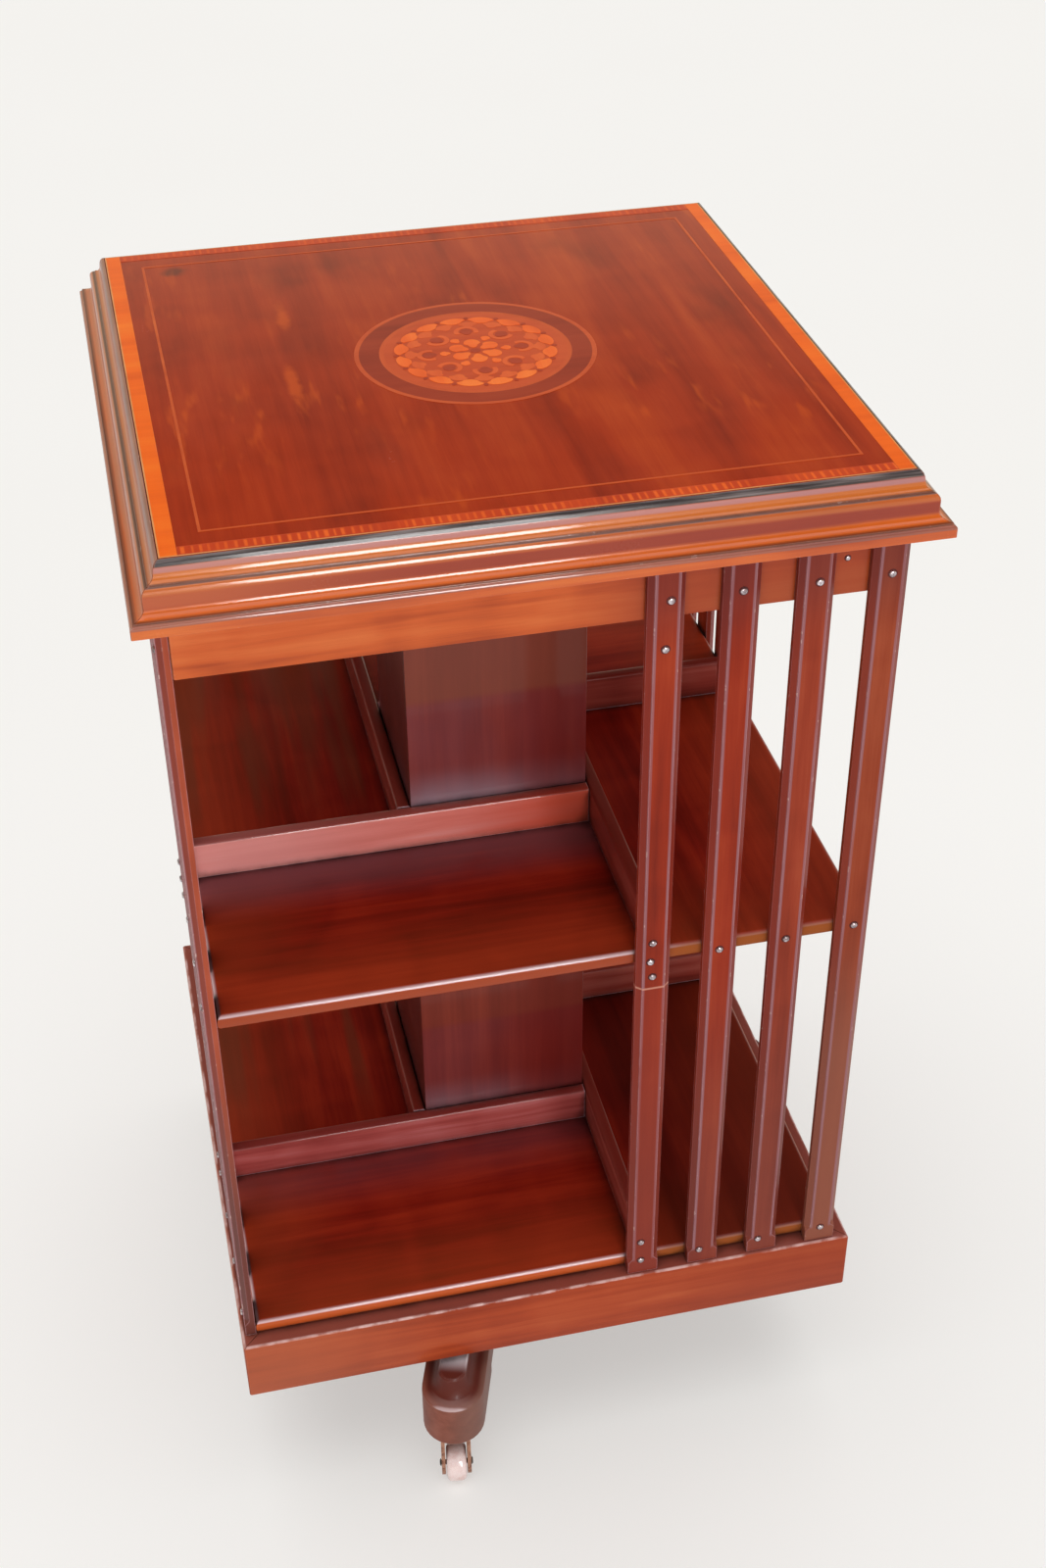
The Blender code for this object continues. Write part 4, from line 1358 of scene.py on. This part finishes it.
class Bench:
    """Shapes new pieces with Blender's own tools, one piece at a time."""

    @staticmethod
    def take(name: str) -> bpy.types.Object:
        """Names the primitive that was just added and puts its place into its mesh."""
        piece = bpy.context.object
        piece.name = name
        bpy.ops.object.transform_apply(location=True, rotation=True, scale=True)
        return piece

    @staticmethod
    def plate(name: str, half: float, height: float) -> bpy.types.Object:
        """Starts a piece as a flat square round the spindle."""
        bpy.ops.object.select_all(action="DESELECT")
        bpy.ops.mesh.primitive_plane_add(size=2 * half, location=(0, 0, height))
        return Bench.take(name)

    @staticmethod
    def strip(name: str, half_length: float, half_width: float, at: Vector) -> bpy.types.Object:
        """Starts a piece as a flat strip along X."""
        bpy.ops.object.select_all(action="DESELECT")
        bpy.ops.mesh.primitive_plane_add(size=2.0, location=at)
        bpy.context.object.scale = (half_length, half_width, 1.0)
        return Bench.take(name)

    @staticmethod
    def disc(name: str, radius: float, steps: int, at: Vector | Triple = ORIGIN) -> bpy.types.Object:
        """Starts a piece as a flat round disc."""
        bpy.ops.object.select_all(action="DESELECT")
        bpy.ops.mesh.primitive_circle_add(vertices=steps, radius=radius, fill_type="NGON", location=at)
        return Bench.take(name)

    @staticmethod
    def select(piece: bpy.types.Object, test: FaceTest) -> None:
        """Selects the faces of a piece in edit mode whose middle and normal pass a test."""
        shape = bmesh.from_edit_mesh(piece.data)
        for face in shape.faces:
            face.select_set(test(face.calc_center_median(), face.normal))
        shape.select_flush_mode()
        bmesh.update_edit_mesh(piece.data)

    @staticmethod
    def hollow(piece: bpy.types.Object, width: float) -> None:
        """Leaves only a border of this width of a flat piece."""
        with editing(piece):
            bpy.ops.mesh.inset(thickness=width)
            bpy.ops.mesh.delete(type="FACE")

    @staticmethod
    def thicken(piece: bpy.types.Object, thickness: float) -> None:
        """Raises a flat piece into a thin closed slab."""
        with editing(piece):
            bpy.ops.mesh.extrude_region_move(TRANSFORM_OT_translate={"value": (0, 0, thickness)})
            bpy.ops.mesh.select_all(action="SELECT")
            bpy.ops.mesh.normals_make_consistent(inside=False)

    @staticmethod
    def copies(piece: bpy.types.Object, places: list[Matrix]) -> None:
        """Repeats a piece and joins the copies to it.

        Args:
            piece: the piece, modelled at the origin.
            places: where each copy goes, the first one for the piece itself.
        """
        pattern = piece.data.copy()
        bpy.ops.object.select_all(action="DESELECT")
        for number, place in enumerate(places):
            mesh = piece.data if number == 0 else pattern.copy()
            mesh.transform(place)
            if number:
                copy = bpy.data.objects.new(f"{piece.name}_{number}", mesh)
                bpy.context.scene.collection.objects.link(copy)
                copy.select_set(True)
        piece.select_set(True)
        bpy.context.view_layer.objects.active = piece
        if len(places) > 1:
            bpy.ops.object.join()
        bpy.data.meshes.remove(pattern)

    @staticmethod
    def settle(piece: bpy.types.Object, material: bpy.types.Material, body: str, slot: str) -> None:
        """Gives a new piece its finish and its body."""
        piece.data.materials.clear()
        piece.data.materials.append(material)
        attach(piece, body)
        LOG.info("made %s", piece.name)


@dataclass(frozen=True)
class Leaves:
    """A ring of equal leaves in the medallion.

    Attributes:
        name: the piece's name after "medallion".
        half_width: half a leaf's width.
        half_length: half its length.
        pinch: the width of its narrow end, which lies inwards, as a share of the wide one.
        count: how many leaves there are.
        radius: their distance from the medallion's middle.
        start: the first leaf's share of a step.
        finish: their wood.
        run: the way of its fibres.
        share: their height as a share of the veneer's.
    """

    name: str
    half_width: float
    half_length: float
    pinch: float
    count: int
    radius: float
    start: float
    finish: WoodFinish
    run: Grain
    share: float = 1.0

    STEPS = 16
    WAIST = -0.3

    def shape(self) -> bpy.types.Object:
        """Shapes one flat leaf at the origin from a disc."""
        piece = Bench.disc(f"medallion_{self.name}", self.half_length, self.STEPS)
        with editing(piece):
            bpy.ops.transform.resize(value=(self.half_width / self.half_length, 1.0, 1.0))
            bpy.context.tool_settings.mesh_select_mode = (True, False, False)
            shape = bmesh.from_edit_mesh(piece.data)
            for point in shape.verts:
                point.select_set(point.co.y < self.WAIST * self.half_length)
            shape.select_flush_mode()
            bmesh.update_edit_mesh(piece.data)
            bpy.ops.transform.resize(value=(self.pinch, 1.0, 1.0))
        return piece


@dataclass
class Top:
    """The panel with its banding, lines and medallion, and the moulded frame round it.

    Attributes:
        arris: the rounding of the solids' arrises.
        veneer: how far the inlay stands above the panel.
        margin: the panel's bare edge outside the inlay.
        edge_width: the pale line at the panel's edge.
        band_width: the crossbanding.
        band_gap: the joint between two lengths of it.
        line_half: half the side of the square line in the field.
        line_width: the width of that line.
        centre: the middle of the medallion.
        outer_radius: the outer ring of the medallion.
        inner_radius: the medallion's round picture.
        ring_width: the lines round the medallion.
        rim_width: the plain rim inside the inner line.
        steps: corners of a large circle.
        eye_radius: the flower's eye.
        flower: the leaves inside the scrolls.
        scrolls: how many scrolls there are.
        scroll_ring: their distance from the medallion's middle.
        scroll_radius: the outer radius of a scroll.
        scroll_width: the width of its band.
        scroll_cut: how far from its middle it is cut open.
        scroll_share: its height as a share of the veneer's.
        wreath: the leaves in and outside the scrolls.
    """

    arris: float = 0.0003
    veneer: float = 0.00018
    margin: float = 0.0003
    edge_width: float = 0.0008
    band_width: float = 0.0100
    band_gap: float = 0.0002
    line_half: float = 0.2035
    line_width: float = 0.0018
    centre: Run = (0.004, 0.002)
    outer_radius: float = 0.0818
    inner_radius: float = 0.0650
    ring_width: float = 0.0032
    rim_width: float = 0.0058
    steps: int = 96
    eye_radius: float = 0.0036
    flower: tuple[Leaves, ...] = (
        Leaves("petals", 0.0058, 0.0068, 0.62, 6, 0.0118, 0.0, PETAL, Grain.ALONG_X),
        Leaves("sepals", 0.0034, 0.0036, 0.70, 6, 0.0208, 0.5, PETAL, Grain.ALONG_Y),
    )
    scrolls: int = 8
    scroll_ring: float = 0.0315
    scroll_radius: float = 0.0086
    scroll_width: float = 0.0032
    scroll_cut: float = 0.0030
    scroll_share: float = 0.8
    wreath: tuple[Leaves, ...] = (
        Leaves("seeds", 0.0044, 0.0050, 0.80, 8, 0.0315, 0.0, SHADE, Grain.ALONG_X),
        Leaves("wreath", 0.0090, 0.0050, 0.72, 16, 0.0502, 0.3, PETAL, Grain.ALONG_Y),
        Leaves("buds", 0.0066, 0.0048, 0.60, 16, 0.0430, 0.8, CURL, Grain.ALONG_Y, 0.6),
        Leaves("hollows", 0.0016, 0.0020, 0.80, 16, 0.0536, 0.8, SHADE, Grain.ALONG_Y, 1.2),
    )

    SMALL_STEPS = 24
    SCROLL_STEPS = 32

    def __post_init__(self) -> None:
        """Reads the panel's size from its solid."""
        _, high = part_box("top_panel")
        self.half: float = high.x
        self.height: float = high.z

    def build(self) -> None:
        """Dresses the solids and lays the inlay."""
        dress("top_panel", FIELD.material(Grain.ALONG_Y), self.arris)
        for number, side in enumerate(SIDES):
            run = Grain.ALONG_Y if number % 2 else Grain.ALONG_X
            finish = SHEENED_MOULDING if side == "left" else MOULDING
            dress(f"top_moulding_{side}", finish.material(run), self.arris)
        self.square("edge_line", self.half - self.margin, self.edge_width, EDGE_LINE)
        self.crossband()
        self.square("field_line", self.line_half, self.line_width, LINE)
        self.medallion()

    def lay(self, piece: bpy.types.Object, finish: WoodFinish, run: Grain, share: float = 1.0) -> None:
        """Raises a flat inlay to its thickness, or a share of it, and puts it on the turning case."""
        Bench.thicken(piece, share * self.veneer)
        Bench.settle(piece, finish.material(run), "case", "top_veneer")

    def square(self, name: str, half: float, width: float, finish: WoodFinish) -> None:
        """Lays a line round a square of this half side."""
        line = Bench.plate(name, half, self.height)
        Bench.hollow(line, width)
        self.lay(line, finish, Grain.ALONG_X)

    def crossband(self) -> None:
        """Two long strips at the sides and two between them, with the fibres across each."""
        outer = self.half - self.margin - self.edge_width
        half = self.band_width / 2
        for number, side in enumerate(SIDES):
            long = number % 2
            length = outer if long else outer - self.band_width - self.band_gap
            at = Vector((0, half - outer, self.height))
            strip = Bench.strip(f"crossband_{side}", length, half, at)
            strip.data.transform(Matrix.Rotation(number * QUARTER, 4, "Z"))
            if long:
                self.lay(strip, SIDE_BAND, Grain.ALONG_X)
            else:
                self.lay(strip, BACK_BAND if side == "back" else END_BAND, Grain.ALONG_Y)

    def spot(self, rise: float = 0.0) -> Vector:
        """Gives the medallion's middle, above the panel by a rise."""
        return Vector((*self.centre, self.height + rise))

    def medallion(self) -> None:
        """The round inlay: two lines with a dark band between them, and a rosette in the middle."""
        band = self.outer_radius - self.ring_width
        inside = self.inner_radius - self.ring_width
        rings = (
            ("outer_line", self.outer_radius, self.ring_width, RING_LINE, Grain.ALONG_X),
            ("band", band, band - self.inner_radius, RING_BAND, Grain.ALONG_X),
            ("inner_line", self.inner_radius, self.ring_width, RING_LINE, Grain.ALONG_Y),
            ("rim", inside, self.rim_width, RIM, Grain.ALONG_X),
        )
        for name, radius, width, finish, run in rings:
            ring = Bench.disc(f"medallion_{name}", radius, self.steps, self.spot())
            Bench.hollow(ring, width)
            self.lay(ring, finish, run)
        ground = Bench.disc("medallion_ground", inside - self.rim_width, self.steps, self.spot())
        self.lay(ground, GROUND, Grain.ALONG_X)
        eye = Bench.disc("medallion_eye", self.eye_radius, self.SMALL_STEPS)
        Bench.copies(eye, self.around(1, 0.0))
        self.lay(eye, SHADE, Grain.ALONG_X)
        self.foliage(self.flower)
        self.scroll_work()
        self.foliage(self.wreath)

    def around(self, count: int, radius: float, start: float = 0.0) -> list[Matrix]:
        """Gives places round the medallion's middle, on top of its ground.

        Args:
            count: how many places.
            radius: their distance from the middle.
            start: the first one's share of a step.

        Returns:
            A matrix for each place, with Y pointing outwards.
        """
        middle = Matrix.Translation(self.spot(self.veneer))
        outwards = Matrix.Translation((0, radius, 0))
        turns = [math.tau * (number + start) / count for number in range(count)]
        return [middle @ Matrix.Rotation(turn, 4, "Z") @ outwards for turn in turns]

    def foliage(self, rings: tuple[Leaves, ...]) -> None:
        """Lays rings of leaves."""
        for leaves in rings:
            leaf = leaves.shape()
            Bench.copies(leaf, self.around(leaves.count, leaves.radius, leaves.start))
            self.lay(leaf, leaves.finish, leaves.run, leaves.share)

    def scroll_work(self) -> None:
        """Open C-scrolls that turn alternately in and out."""
        for way, start, facing in (("in", 0.0, 1.0), ("out", 0.5, -1.0)):
            scroll = Bench.disc(f"medallion_scrolls_{way}", self.scroll_radius, self.SCROLL_STEPS)
            Bench.hollow(scroll, self.scroll_width)
            cut = (0, -self.scroll_cut * facing, 0)
            with editing(scroll):
                bpy.ops.mesh.bisect(plane_co=cut, plane_no=(0, -facing, 0), clear_outer=True)
            Bench.copies(scroll, self.around(self.scrolls // 2, self.scroll_ring, start))
            self.lay(scroll, CURL, Grain.ALONG_X, self.scroll_share)


@dataclass
class Case:
    """The boards that turn with the top: frieze, shelves, column, rails and plinth.

    Attributes:
        board_arris: the rounding of the frieze's and plinth's arrises.
        rail_arris: that of the rails, shelves and blocks.
        column_arris: that of the column.
    """

    board_arris: float = 0.0007
    rail_arris: float = 0.0005
    column_arris: float = 0.0010

    def build(self) -> None:
        """Dresses every board with its fibres along its length."""
        for number, side in enumerate(SIDES):
            run = Grain.ALONG_Y if number % 2 else Grain.ALONG_X
            dress(f"frieze_rail_{side}", FRIEZE.material(run), self.board_arris)
            dress(f"plinth_rail_{side}", PLINTH.material(run), self.board_arris)
            # The front rails take the painted lit finishes, the others the painted shaded one.
            lower, upper = (RAIL, UPPER_RAIL) if side == "front" else (SHADED_RAIL, SHADED_RAIL)
            dress(f"lower_rail_{side}", lower.material(run), self.rail_arris)
            dress(f"upper_rail_{side}", upper.material(run), self.rail_arris)
        for shelf in ("bottom_shelf", "middle_shelf"):
            dress(shelf, SHELF.material(Grain.ALONG_X), self.rail_arris)
        dress("column", COLUMN.material(Grain.ALONG_Z), self.column_arris)
        for block in ("lower_bearing_block", "pivot_block"):
            dress(block, HIDDEN.material(Grain.ALONG_X), self.rail_arris)
        dress("spindle_bush", BRASS.material(), 0.0)


@dataclass(frozen=True)
class Screw:
    """A round-headed screw.

    Attributes:
        radius: the radius of its head.
        height: how far the head stands out.
        slot_width: the width of its slot.
        slot_depth: the depth of its slot.
    """

    radius: float = 0.0024
    height: float = 0.0015
    slot_width: float = 0.0004
    slot_depth: float = 0.0005

    STEPS = 20
    ROUNDING = 0.75
    ROUNDING_STEPS = 4
    SHARP = math.radians(35.0)

    def shape(self, name: str) -> bpy.types.Object:
        """Models the head with its slot, standing on z = 0.

        Args:
            name: the piece's name.

        Returns:
            The head.
        """
        bpy.ops.object.select_all(action="DESELECT")
        bpy.ops.mesh.primitive_cylinder_add(
            vertices=self.STEPS, radius=self.radius, depth=self.height, location=(0, 0, self.height / 2)
        )
        head = Bench.take(name)
        with editing(head):
            Bench.select(head, lambda middle, _: middle.z > 0.99 * self.height)
            bpy.ops.mesh.bevel(
                offset=self.ROUNDING * self.height, segments=self.ROUNDING_STEPS, affect="EDGES"
            )
            bpy.ops.mesh.select_all(action="SELECT")
            bpy.ops.mesh.faces_shade_smooth()
        bpy.ops.object.select_all(action="DESELECT")
        bpy.ops.mesh.primitive_cube_add(size=1.0, location=(0, 0, self.height))
        cutter = bpy.context.object
        cutter.scale = (self.slot_width, 3 * self.radius, 2 * self.slot_depth)
        bpy.context.view_layer.update()
        cut = head.modifiers.new("slot", "BOOLEAN")
        cut.object = cutter
        cut.solver = "EXACT"
        bpy.context.view_layer.objects.active = head
        bpy.ops.object.modifier_apply(modifier=cut.name)
        bpy.data.objects.remove(cutter)
        bpy.ops.object.select_all(action="DESELECT")
        head.select_set(True)
        bpy.ops.object.shade_smooth_by_angle(angle=self.SHARP)
        return head


@dataclass
class Slats:
    """The slats and the round-headed screws that hold them.

    Attributes:
        count: how many slats a side has.
        arris: the rounding of their arrises.
        screw: the screw that holds them.
        slot_turn: how far each screw's slot is turned from the one before.
        collar_radius: the radius of the dark ring round a screw.
        collar_hole: the ring's hole as a share of the screw's radius.
        collar_height: how far that ring stands out.
        collar_steps: corners of the ring.
        rows: for each slat of a side, its screws as (offset from the slat's middle, height).
        nail: the place across and the height of the nail in the frieze.
        nail_share: the nail's size as a share of a screw's.
    """

    count: int = 4
    arris: float = 0.0002
    screw: Screw = Screw()
    slot_turn: float = 2.4
    collar_radius: float = 0.0032
    collar_hole: float = 0.9
    collar_height: float = 0.00012
    collar_steps: int = 20
    rows: tuple[tuple[Run, ...], ...] = (
        ((0.0020, 0.7836), (-0.0005, 0.7489), (-0.0016, 0.5116), (-0.0028, 0.4950), (-0.0011, 0.4812),
         (-0.0023, 0.2106), (-0.0019, 0.1904)),
        ((-0.0001, 0.7840), (-0.0015, 0.4966), (-0.0030, 0.1903)),
        ((0.0010, 0.7833), (-0.0014, 0.4967), (-0.0033, 0.1902)),
        ((0.0002, 0.7829), (0.0002, 0.4994), (0.0000, 0.1903)),
    )
    nail: Run = (0.1890, 0.7930)
    nail_share: float = 0.7

    UNLIKE = {
        "slat_front_1": MENDED_SLAT,
        "slat_front_3": PALE_SLAT,
        "slat_front_4": FADED_SLAT,
        "slat_left_4": CORNER_SLAT,
    }

    def build(self) -> None:
        """Dresses the slats and drives the screws."""
        for side in SIDES:
            for number in range(1, self.count + 1):
                name = f"slat_{side}_{number}"
                finish = self.UNLIKE.get(name, SLAT)
                dress(name, finish.material(Grain.ALONG_Z), self.arris)
        for quarter, side in enumerate(SIDES):
            places = self.places(quarter)
            screws = self.screw.shape(f"slat_screws_{side}")
            Bench.copies(screws, places)
            Bench.settle(screws, STEEL.material(), "case", "iron")
            collars = Bench.disc(f"screw_collars_{side}", self.collar_radius, self.collar_steps)
            Bench.hollow(collars, self.collar_radius - self.collar_hole * self.screw.radius)
            Bench.thicken(collars, self.collar_height)
            Bench.copies(collars, places)
            Bench.settle(collars, SURROUND.material(Grain.ALONG_Z), "case", "case")

    def places(self, quarter: int) -> list[Matrix]:
        """Gives the places of one side's screws and nail.

        Args:
            quarter: how many quarter turns the side is from the front.

        Returns:
            A matrix for each fastener, modelled standing on z = 0.
        """
        low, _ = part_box("slat_front_1")
        frieze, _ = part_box("frieze_rail_front")
        found = []
        for slat, row in enumerate(self.rows):
            near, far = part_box(f"slat_front_{slat + 1}")
            for offset, height in row:
                found.append(((near.x + far.x) / 2 + offset, low.y, height, 1.0))
        found.append((self.nail[0], frieze.y, self.nail[1], self.nail_share))
        turn = Matrix.Rotation(quarter * QUARTER, 4, "Z")
        upright = Matrix.Rotation(QUARTER, 4, "X")
        places = []
        for number, (x, y, z, share) in enumerate(found):
            slot = Matrix.Rotation(self.slot_turn * (number + quarter), 4, "Z")
            places.append(turn @ Matrix.Translation((x, y, z)) @ upright @ slot @ Matrix.Scale(share, 4))
        return places


@dataclass
class Base:
    """The three-armed base, its spindle and its casters.

    Attributes:
        count: how many arms and casters there are.
        arris: the rounding of the arms' and hub's arrises.
        metal_arris: that of the spindle, plates and horns.
        axle_arris: that of the axles.
        wheel_arris: that of the wheels.
        screw: the screw of a caster's plate, before it is made smaller.
        screws: how many of them a plate has.
        screw_ring: their distance from the plate's middle.
        screw_share: their size as a share of the screw's.
    """

    count: int = 3
    arris: float = 0.0005
    metal_arris: float = 0.0003
    axle_arris: float = 0.0001
    wheel_arris: float = 0.0002
    screw: Screw = Screw()
    screws: int = 3
    screw_ring: float = 0.0164
    screw_share: float = 0.70

    def build(self) -> None:
        """Dresses the base and screws the caster plates to its arms."""
        dress("base_hub", ARM.material(Grain.ALONG_X), self.arris)
        dress("spindle", IRON.material(), self.metal_arris)
        ceramic = CERAMIC.material()
        for number in range(1, self.count + 1):
            dress(f"base_arm_{number}", ARM.material(Grain[f"ARM_{number}"]), self.arris)
            dress(f"caster_plate_{number}", BRASS.material(), self.metal_arris)
            dress(f"caster_horn_{number}", BRASS.material(), self.metal_arris)
            dress(f"caster_axle_{number}", IRON.material(), self.axle_arris)
            dress(f"caster_wheel_{number}", ceramic, self.wheel_arris)
            self.plate_screws(number)

    def plate_screws(self, number: int) -> None:
        """Small screws under one caster's plate, clear of the horn that turns there."""
        low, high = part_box(f"caster_plate_{number}")
        middle = Matrix.Translation(((low.x + high.x) / 2, (low.y + high.y) / 2, low.z))
        outwards = Matrix.Translation((self.screw_ring, 0, 0))
        down = Matrix.Rotation(math.pi, 4, "X") @ Matrix.Scale(self.screw_share, 4)
        places = []
        for spoke in range(self.screws):
            turn = Matrix.Rotation(math.tau * spoke / self.screws + number, 4, "Z")
            places.append(middle @ turn @ outwards @ down)
        screws = self.screw.shape(f"plate_screws_{number}")
        Bench.copies(screws, places)
        Bench.settle(screws, STEEL.material(), "base", "iron")


@dataclass
class Studio:
    """The floor, the light and the camera.

    Attributes:
        eye: where the camera stands.
        azimuth: the way it looks, turned from +Y.
        elevation: how far it looks down.
        roll: how far it leans.
        lens: its focal length in millimetres.
        sensor: the width of its sensor in millimetres.
        nearest: the distance from which it sees.
        middle: the point that the upright lamps face.
        floor_half: half the side of the floor.
        floor_far: the floor's tone far off.
        floor_near: its tone in front.
        glow: how much of the floor shows as its plain colour, so that its shadows stay pale.
        pale: the tone behind the floor.
        horizon: the tone of the lower sky in what the polish shows.
        ceiling: the tone of the upper sky there.
        ambient: the strength of the even light.
    """

    eye: Triple = (-0.25387, -1.27809, 1.43806)
    azimuth: float = math.radians(-12.6607)
    elevation: float = math.radians(36.0317)
    roll: float = math.radians(-0.5822)
    lens: float = 71.63
    sensor: float = 36.0
    nearest: float = 0.05
    middle: Triple = (0.0, 0.0, 0.55)
    floor_half: float = 14.0
    floor_far: Colour = tone(249, 247, 243)
    floor_near: Colour = tone(255, 254, 251)
    glow: float = 0.46
    pale: Colour = tone(245, 244, 240)
    horizon: Colour = tone(246, 228, 196)
    ceiling: Colour = tone(58, 46, 40)
    ambient: float = 0.52

    FLOOR_CUTS = 3
    FLOOR_CLOUDS = Pattern(1.5, 2.0)
    FLOOR_CLOUD_SHARE = 0.4
    FLOOR_RUN = (1.6, -0.6)
    FLOOR_NEARER = 0.75
    FLOOR_ROUGHNESS = 0.9
    FLOOR_SHINE = 0.1
    HORIZON_RUN = (0.33, 0.44)
    WHITE = (1.0, 1.0, 1.0, 1.0)

    # The sheen lamp gives the bright lines on nosings and mouldings, and would show as a patch on these.
    UNSHEENED = ("floor", "top_panel", "crossband", "edge_line", "field_line", "medallion",
                 "top_moulding_right", "top_moulding_back", "top_moulding_left")

    def build(self) -> None:
        """Sets up everything round the bookcase."""
        scene = bpy.context.scene
        scene.view_settings.view_transform = "Standard"
        self.floor()
        self.sky()
        self.lamp("overhead", towards=(-0.15, 0.08, 2.0), strength=1.25, spread=60.0)
        window = self.window("window", at=(0.30, -2.80, 1.45), size=(0.70, 0.70), power=22.0)
        window.visible_glossy = False
        self.spare(window, "floor")
        sheen = self.window("sheen", at=(0.26, -2.60, 1.65), size=(0.60, 1.60), power=62.0)
        sheen.visible_diffuse = False
        self.spare(sheen, *self.UNSHEENED)
        scene.camera = self.camera()

    def floor(self) -> None:
        """A plain pale floor."""
        floor = Bench.plate("floor", self.floor_half, 0.0)
        with editing(floor):
            bpy.ops.mesh.subdivide(number_cuts=self.FLOOR_CUTS)
        recipe = Recipe("pale_floor")
        graph = recipe.graph
        _, y, _ = graph.split(recipe.place)
        clouds = graph.noise(recipe.place, self.FLOOR_CLOUDS)
        nearer = graph.math("MULTIPLY_ADD", clouds, self.FLOOR_CLOUD_SHARE, graph.fade(y, *self.FLOOR_RUN))
        colour = graph.paint(self.floor_far, Glaze(self.floor_near, self.FLOOR_NEARER), nearer)
        plain = graph.add("Emission")
        graph.feed(plain.inputs["Color"], colour)
        share = graph.product(self.seen(graph), self.glow)
        self.blend(graph, "Material Output", share, recipe.shader, plain)
        floor.data.materials.append(recipe.finish({
            "Base Color": colour,
            "Roughness": self.FLOOR_ROUGHNESS,
            "Specular IOR Level": self.FLOOR_SHINE,
        }))

    @staticmethod
    def seen(graph: Graph) -> Socket:
        """Is 1 for rays that show something to the camera, straight or by way of polish or glass."""
        path = graph.add("LightPath").outputs
        shown = graph.math("MAXIMUM", path["Is Camera Ray"], path["Is Glossy Ray"])
        return graph.math("MAXIMUM", shown, path["Is Transmission Ray"])

    @staticmethod
    def blend(graph: Graph, output: str, share: Value, first: bpy.types.Node, second: bpy.types.Node) -> None:
        """Shows two shaders at a tree's output.

        Args:
            graph: the tree's nodes.
            output: the name of its output node.
            share: how much of the second shader shows.
            first: the first shader.
            second: the second shader.
        """
        both = graph.add("MixShader")
        graph.feed(both.inputs[0], share)
        graph.feed(both.inputs[1], first.outputs[0])
        graph.feed(both.inputs[2], second.outputs[0])
        graph.feed(graph.tree.nodes[output].inputs["Surface"], both.outputs[0])

    def sky(self) -> None:
        """Even light from all round, with a pale horizon and a dimmer ceiling in what the polish shows."""
        world = bpy.data.worlds.new("studio")
        bpy.context.scene.world = world
        world.use_nodes = True
        graph = Graph(world.node_tree)
        even = graph.add("Background")
        graph.feed(even.inputs["Strength"], self.ambient)
        graph.feed(even.inputs["Color"], self.WHITE)
        _, _, rise = graph.split(graph.add("TexCoord").outputs["Generated"])
        mirrored = graph.mix(graph.fade(rise, *self.HORIZON_RUN), self.horizon, self.ceiling)
        straight = graph.add("LightPath").outputs["Is Camera Ray"]
        shown = world.node_tree.nodes["Background"]
        graph.feed(shown.inputs["Color"], graph.mix(straight, mirrored, self.pale))
        self.blend(graph, "World Output", self.seen(graph), even, shown)

    def lamp(self, name: str, towards: Triple, strength: float, spread: float) -> None:
        """Adds a soft lamp that lights all places alike.

        Args:
            name: the lamp's name.
            towards: the direction in which it stands.
            strength: its power on a square metre that faces it.
            spread: how wide it looks, in degrees.
        """
        light = bpy.data.lights.new(name, "SUN")
        light.energy = strength
        light.angle = math.radians(spread)
        lamp = bpy.data.objects.new(name, light)
        lamp.rotation_euler = Vector(towards).to_track_quat("Z", "Y").to_euler()
        bpy.context.scene.collection.objects.link(lamp)

    def window(self, name: str, at: Triple, size: Run, power: float) -> bpy.types.Object:
        """Adds an upright lamp in front, which faces the bookcase.

        Args:
            name: the lamp's name.
            at: where it stands.
            size: its width and height.
            power: its power in watts.

        Returns:
            The lamp.
        """
        light = bpy.data.lights.new(name, "AREA")
        light.shape = "RECTANGLE"
        light.size, light.size_y = size
        light.energy = power
        lamp = bpy.data.objects.new(name, light)
        lamp.location = at
        lamp.rotation_euler = (Vector(at) - Vector(self.middle)).to_track_quat("Z", "Y").to_euler()
        bpy.context.scene.collection.objects.link(lamp)
        return lamp

    @staticmethod
    def spare(lamp: bpy.types.Object, *spared: str) -> None:
        """Lets a lamp light every piece but some, such as the flat top that would mirror it.

        Args:
            lamp: the lamp.
            *spared: the first words of the names of the pieces that it leaves out.
        """
        lit = bpy.data.collections.new(f"{lamp.name}_lit")
        for piece in bpy.context.scene.objects:
            if piece.type == "MESH" and not piece.name.startswith(spared):
                lit.objects.link(piece)
        lamp.light_linking.receiver_collection = lit

    def camera(self) -> bpy.types.Object:
        """Places the camera.

        Returns:
            The camera's object.
        """
        data = bpy.data.cameras.new("camera")
        data.lens = self.lens
        data.sensor_width = self.sensor
        data.sensor_fit = "HORIZONTAL"
        data.clip_start = self.nearest
        side = Vector((math.cos(self.azimuth), math.sin(self.azimuth), 0.0))
        ahead = Vector((-math.sin(self.azimuth), math.cos(self.azimuth), 0.0))
        back = math.sin(self.elevation) * Vector((0.0, 0.0, 1.0)) - math.cos(self.elevation) * ahead
        up = back.cross(side)
        right = math.cos(self.roll) * side + math.sin(self.roll) * up
        above = math.cos(self.roll) * up - math.sin(self.roll) * side
        turn = Matrix((right, above, back)).transposed().to_4x4()
        camera = bpy.data.objects.new("camera", data)
        camera.matrix_world = Matrix.Translation(self.eye) @ turn
        bpy.context.scene.collection.objects.link(camera)
        return camera


def main() -> None:
    """Builds the bookcase's looks and the studio round it."""
    logging.basicConfig(level=logging.INFO, format="%(message)s")
    bpy.ops.object.select_all(action="DESELECT")
    for part in (Top(), Case(), Slats(), Base(), Studio()):
        part.build()


if __name__ == "__main__":
    main()
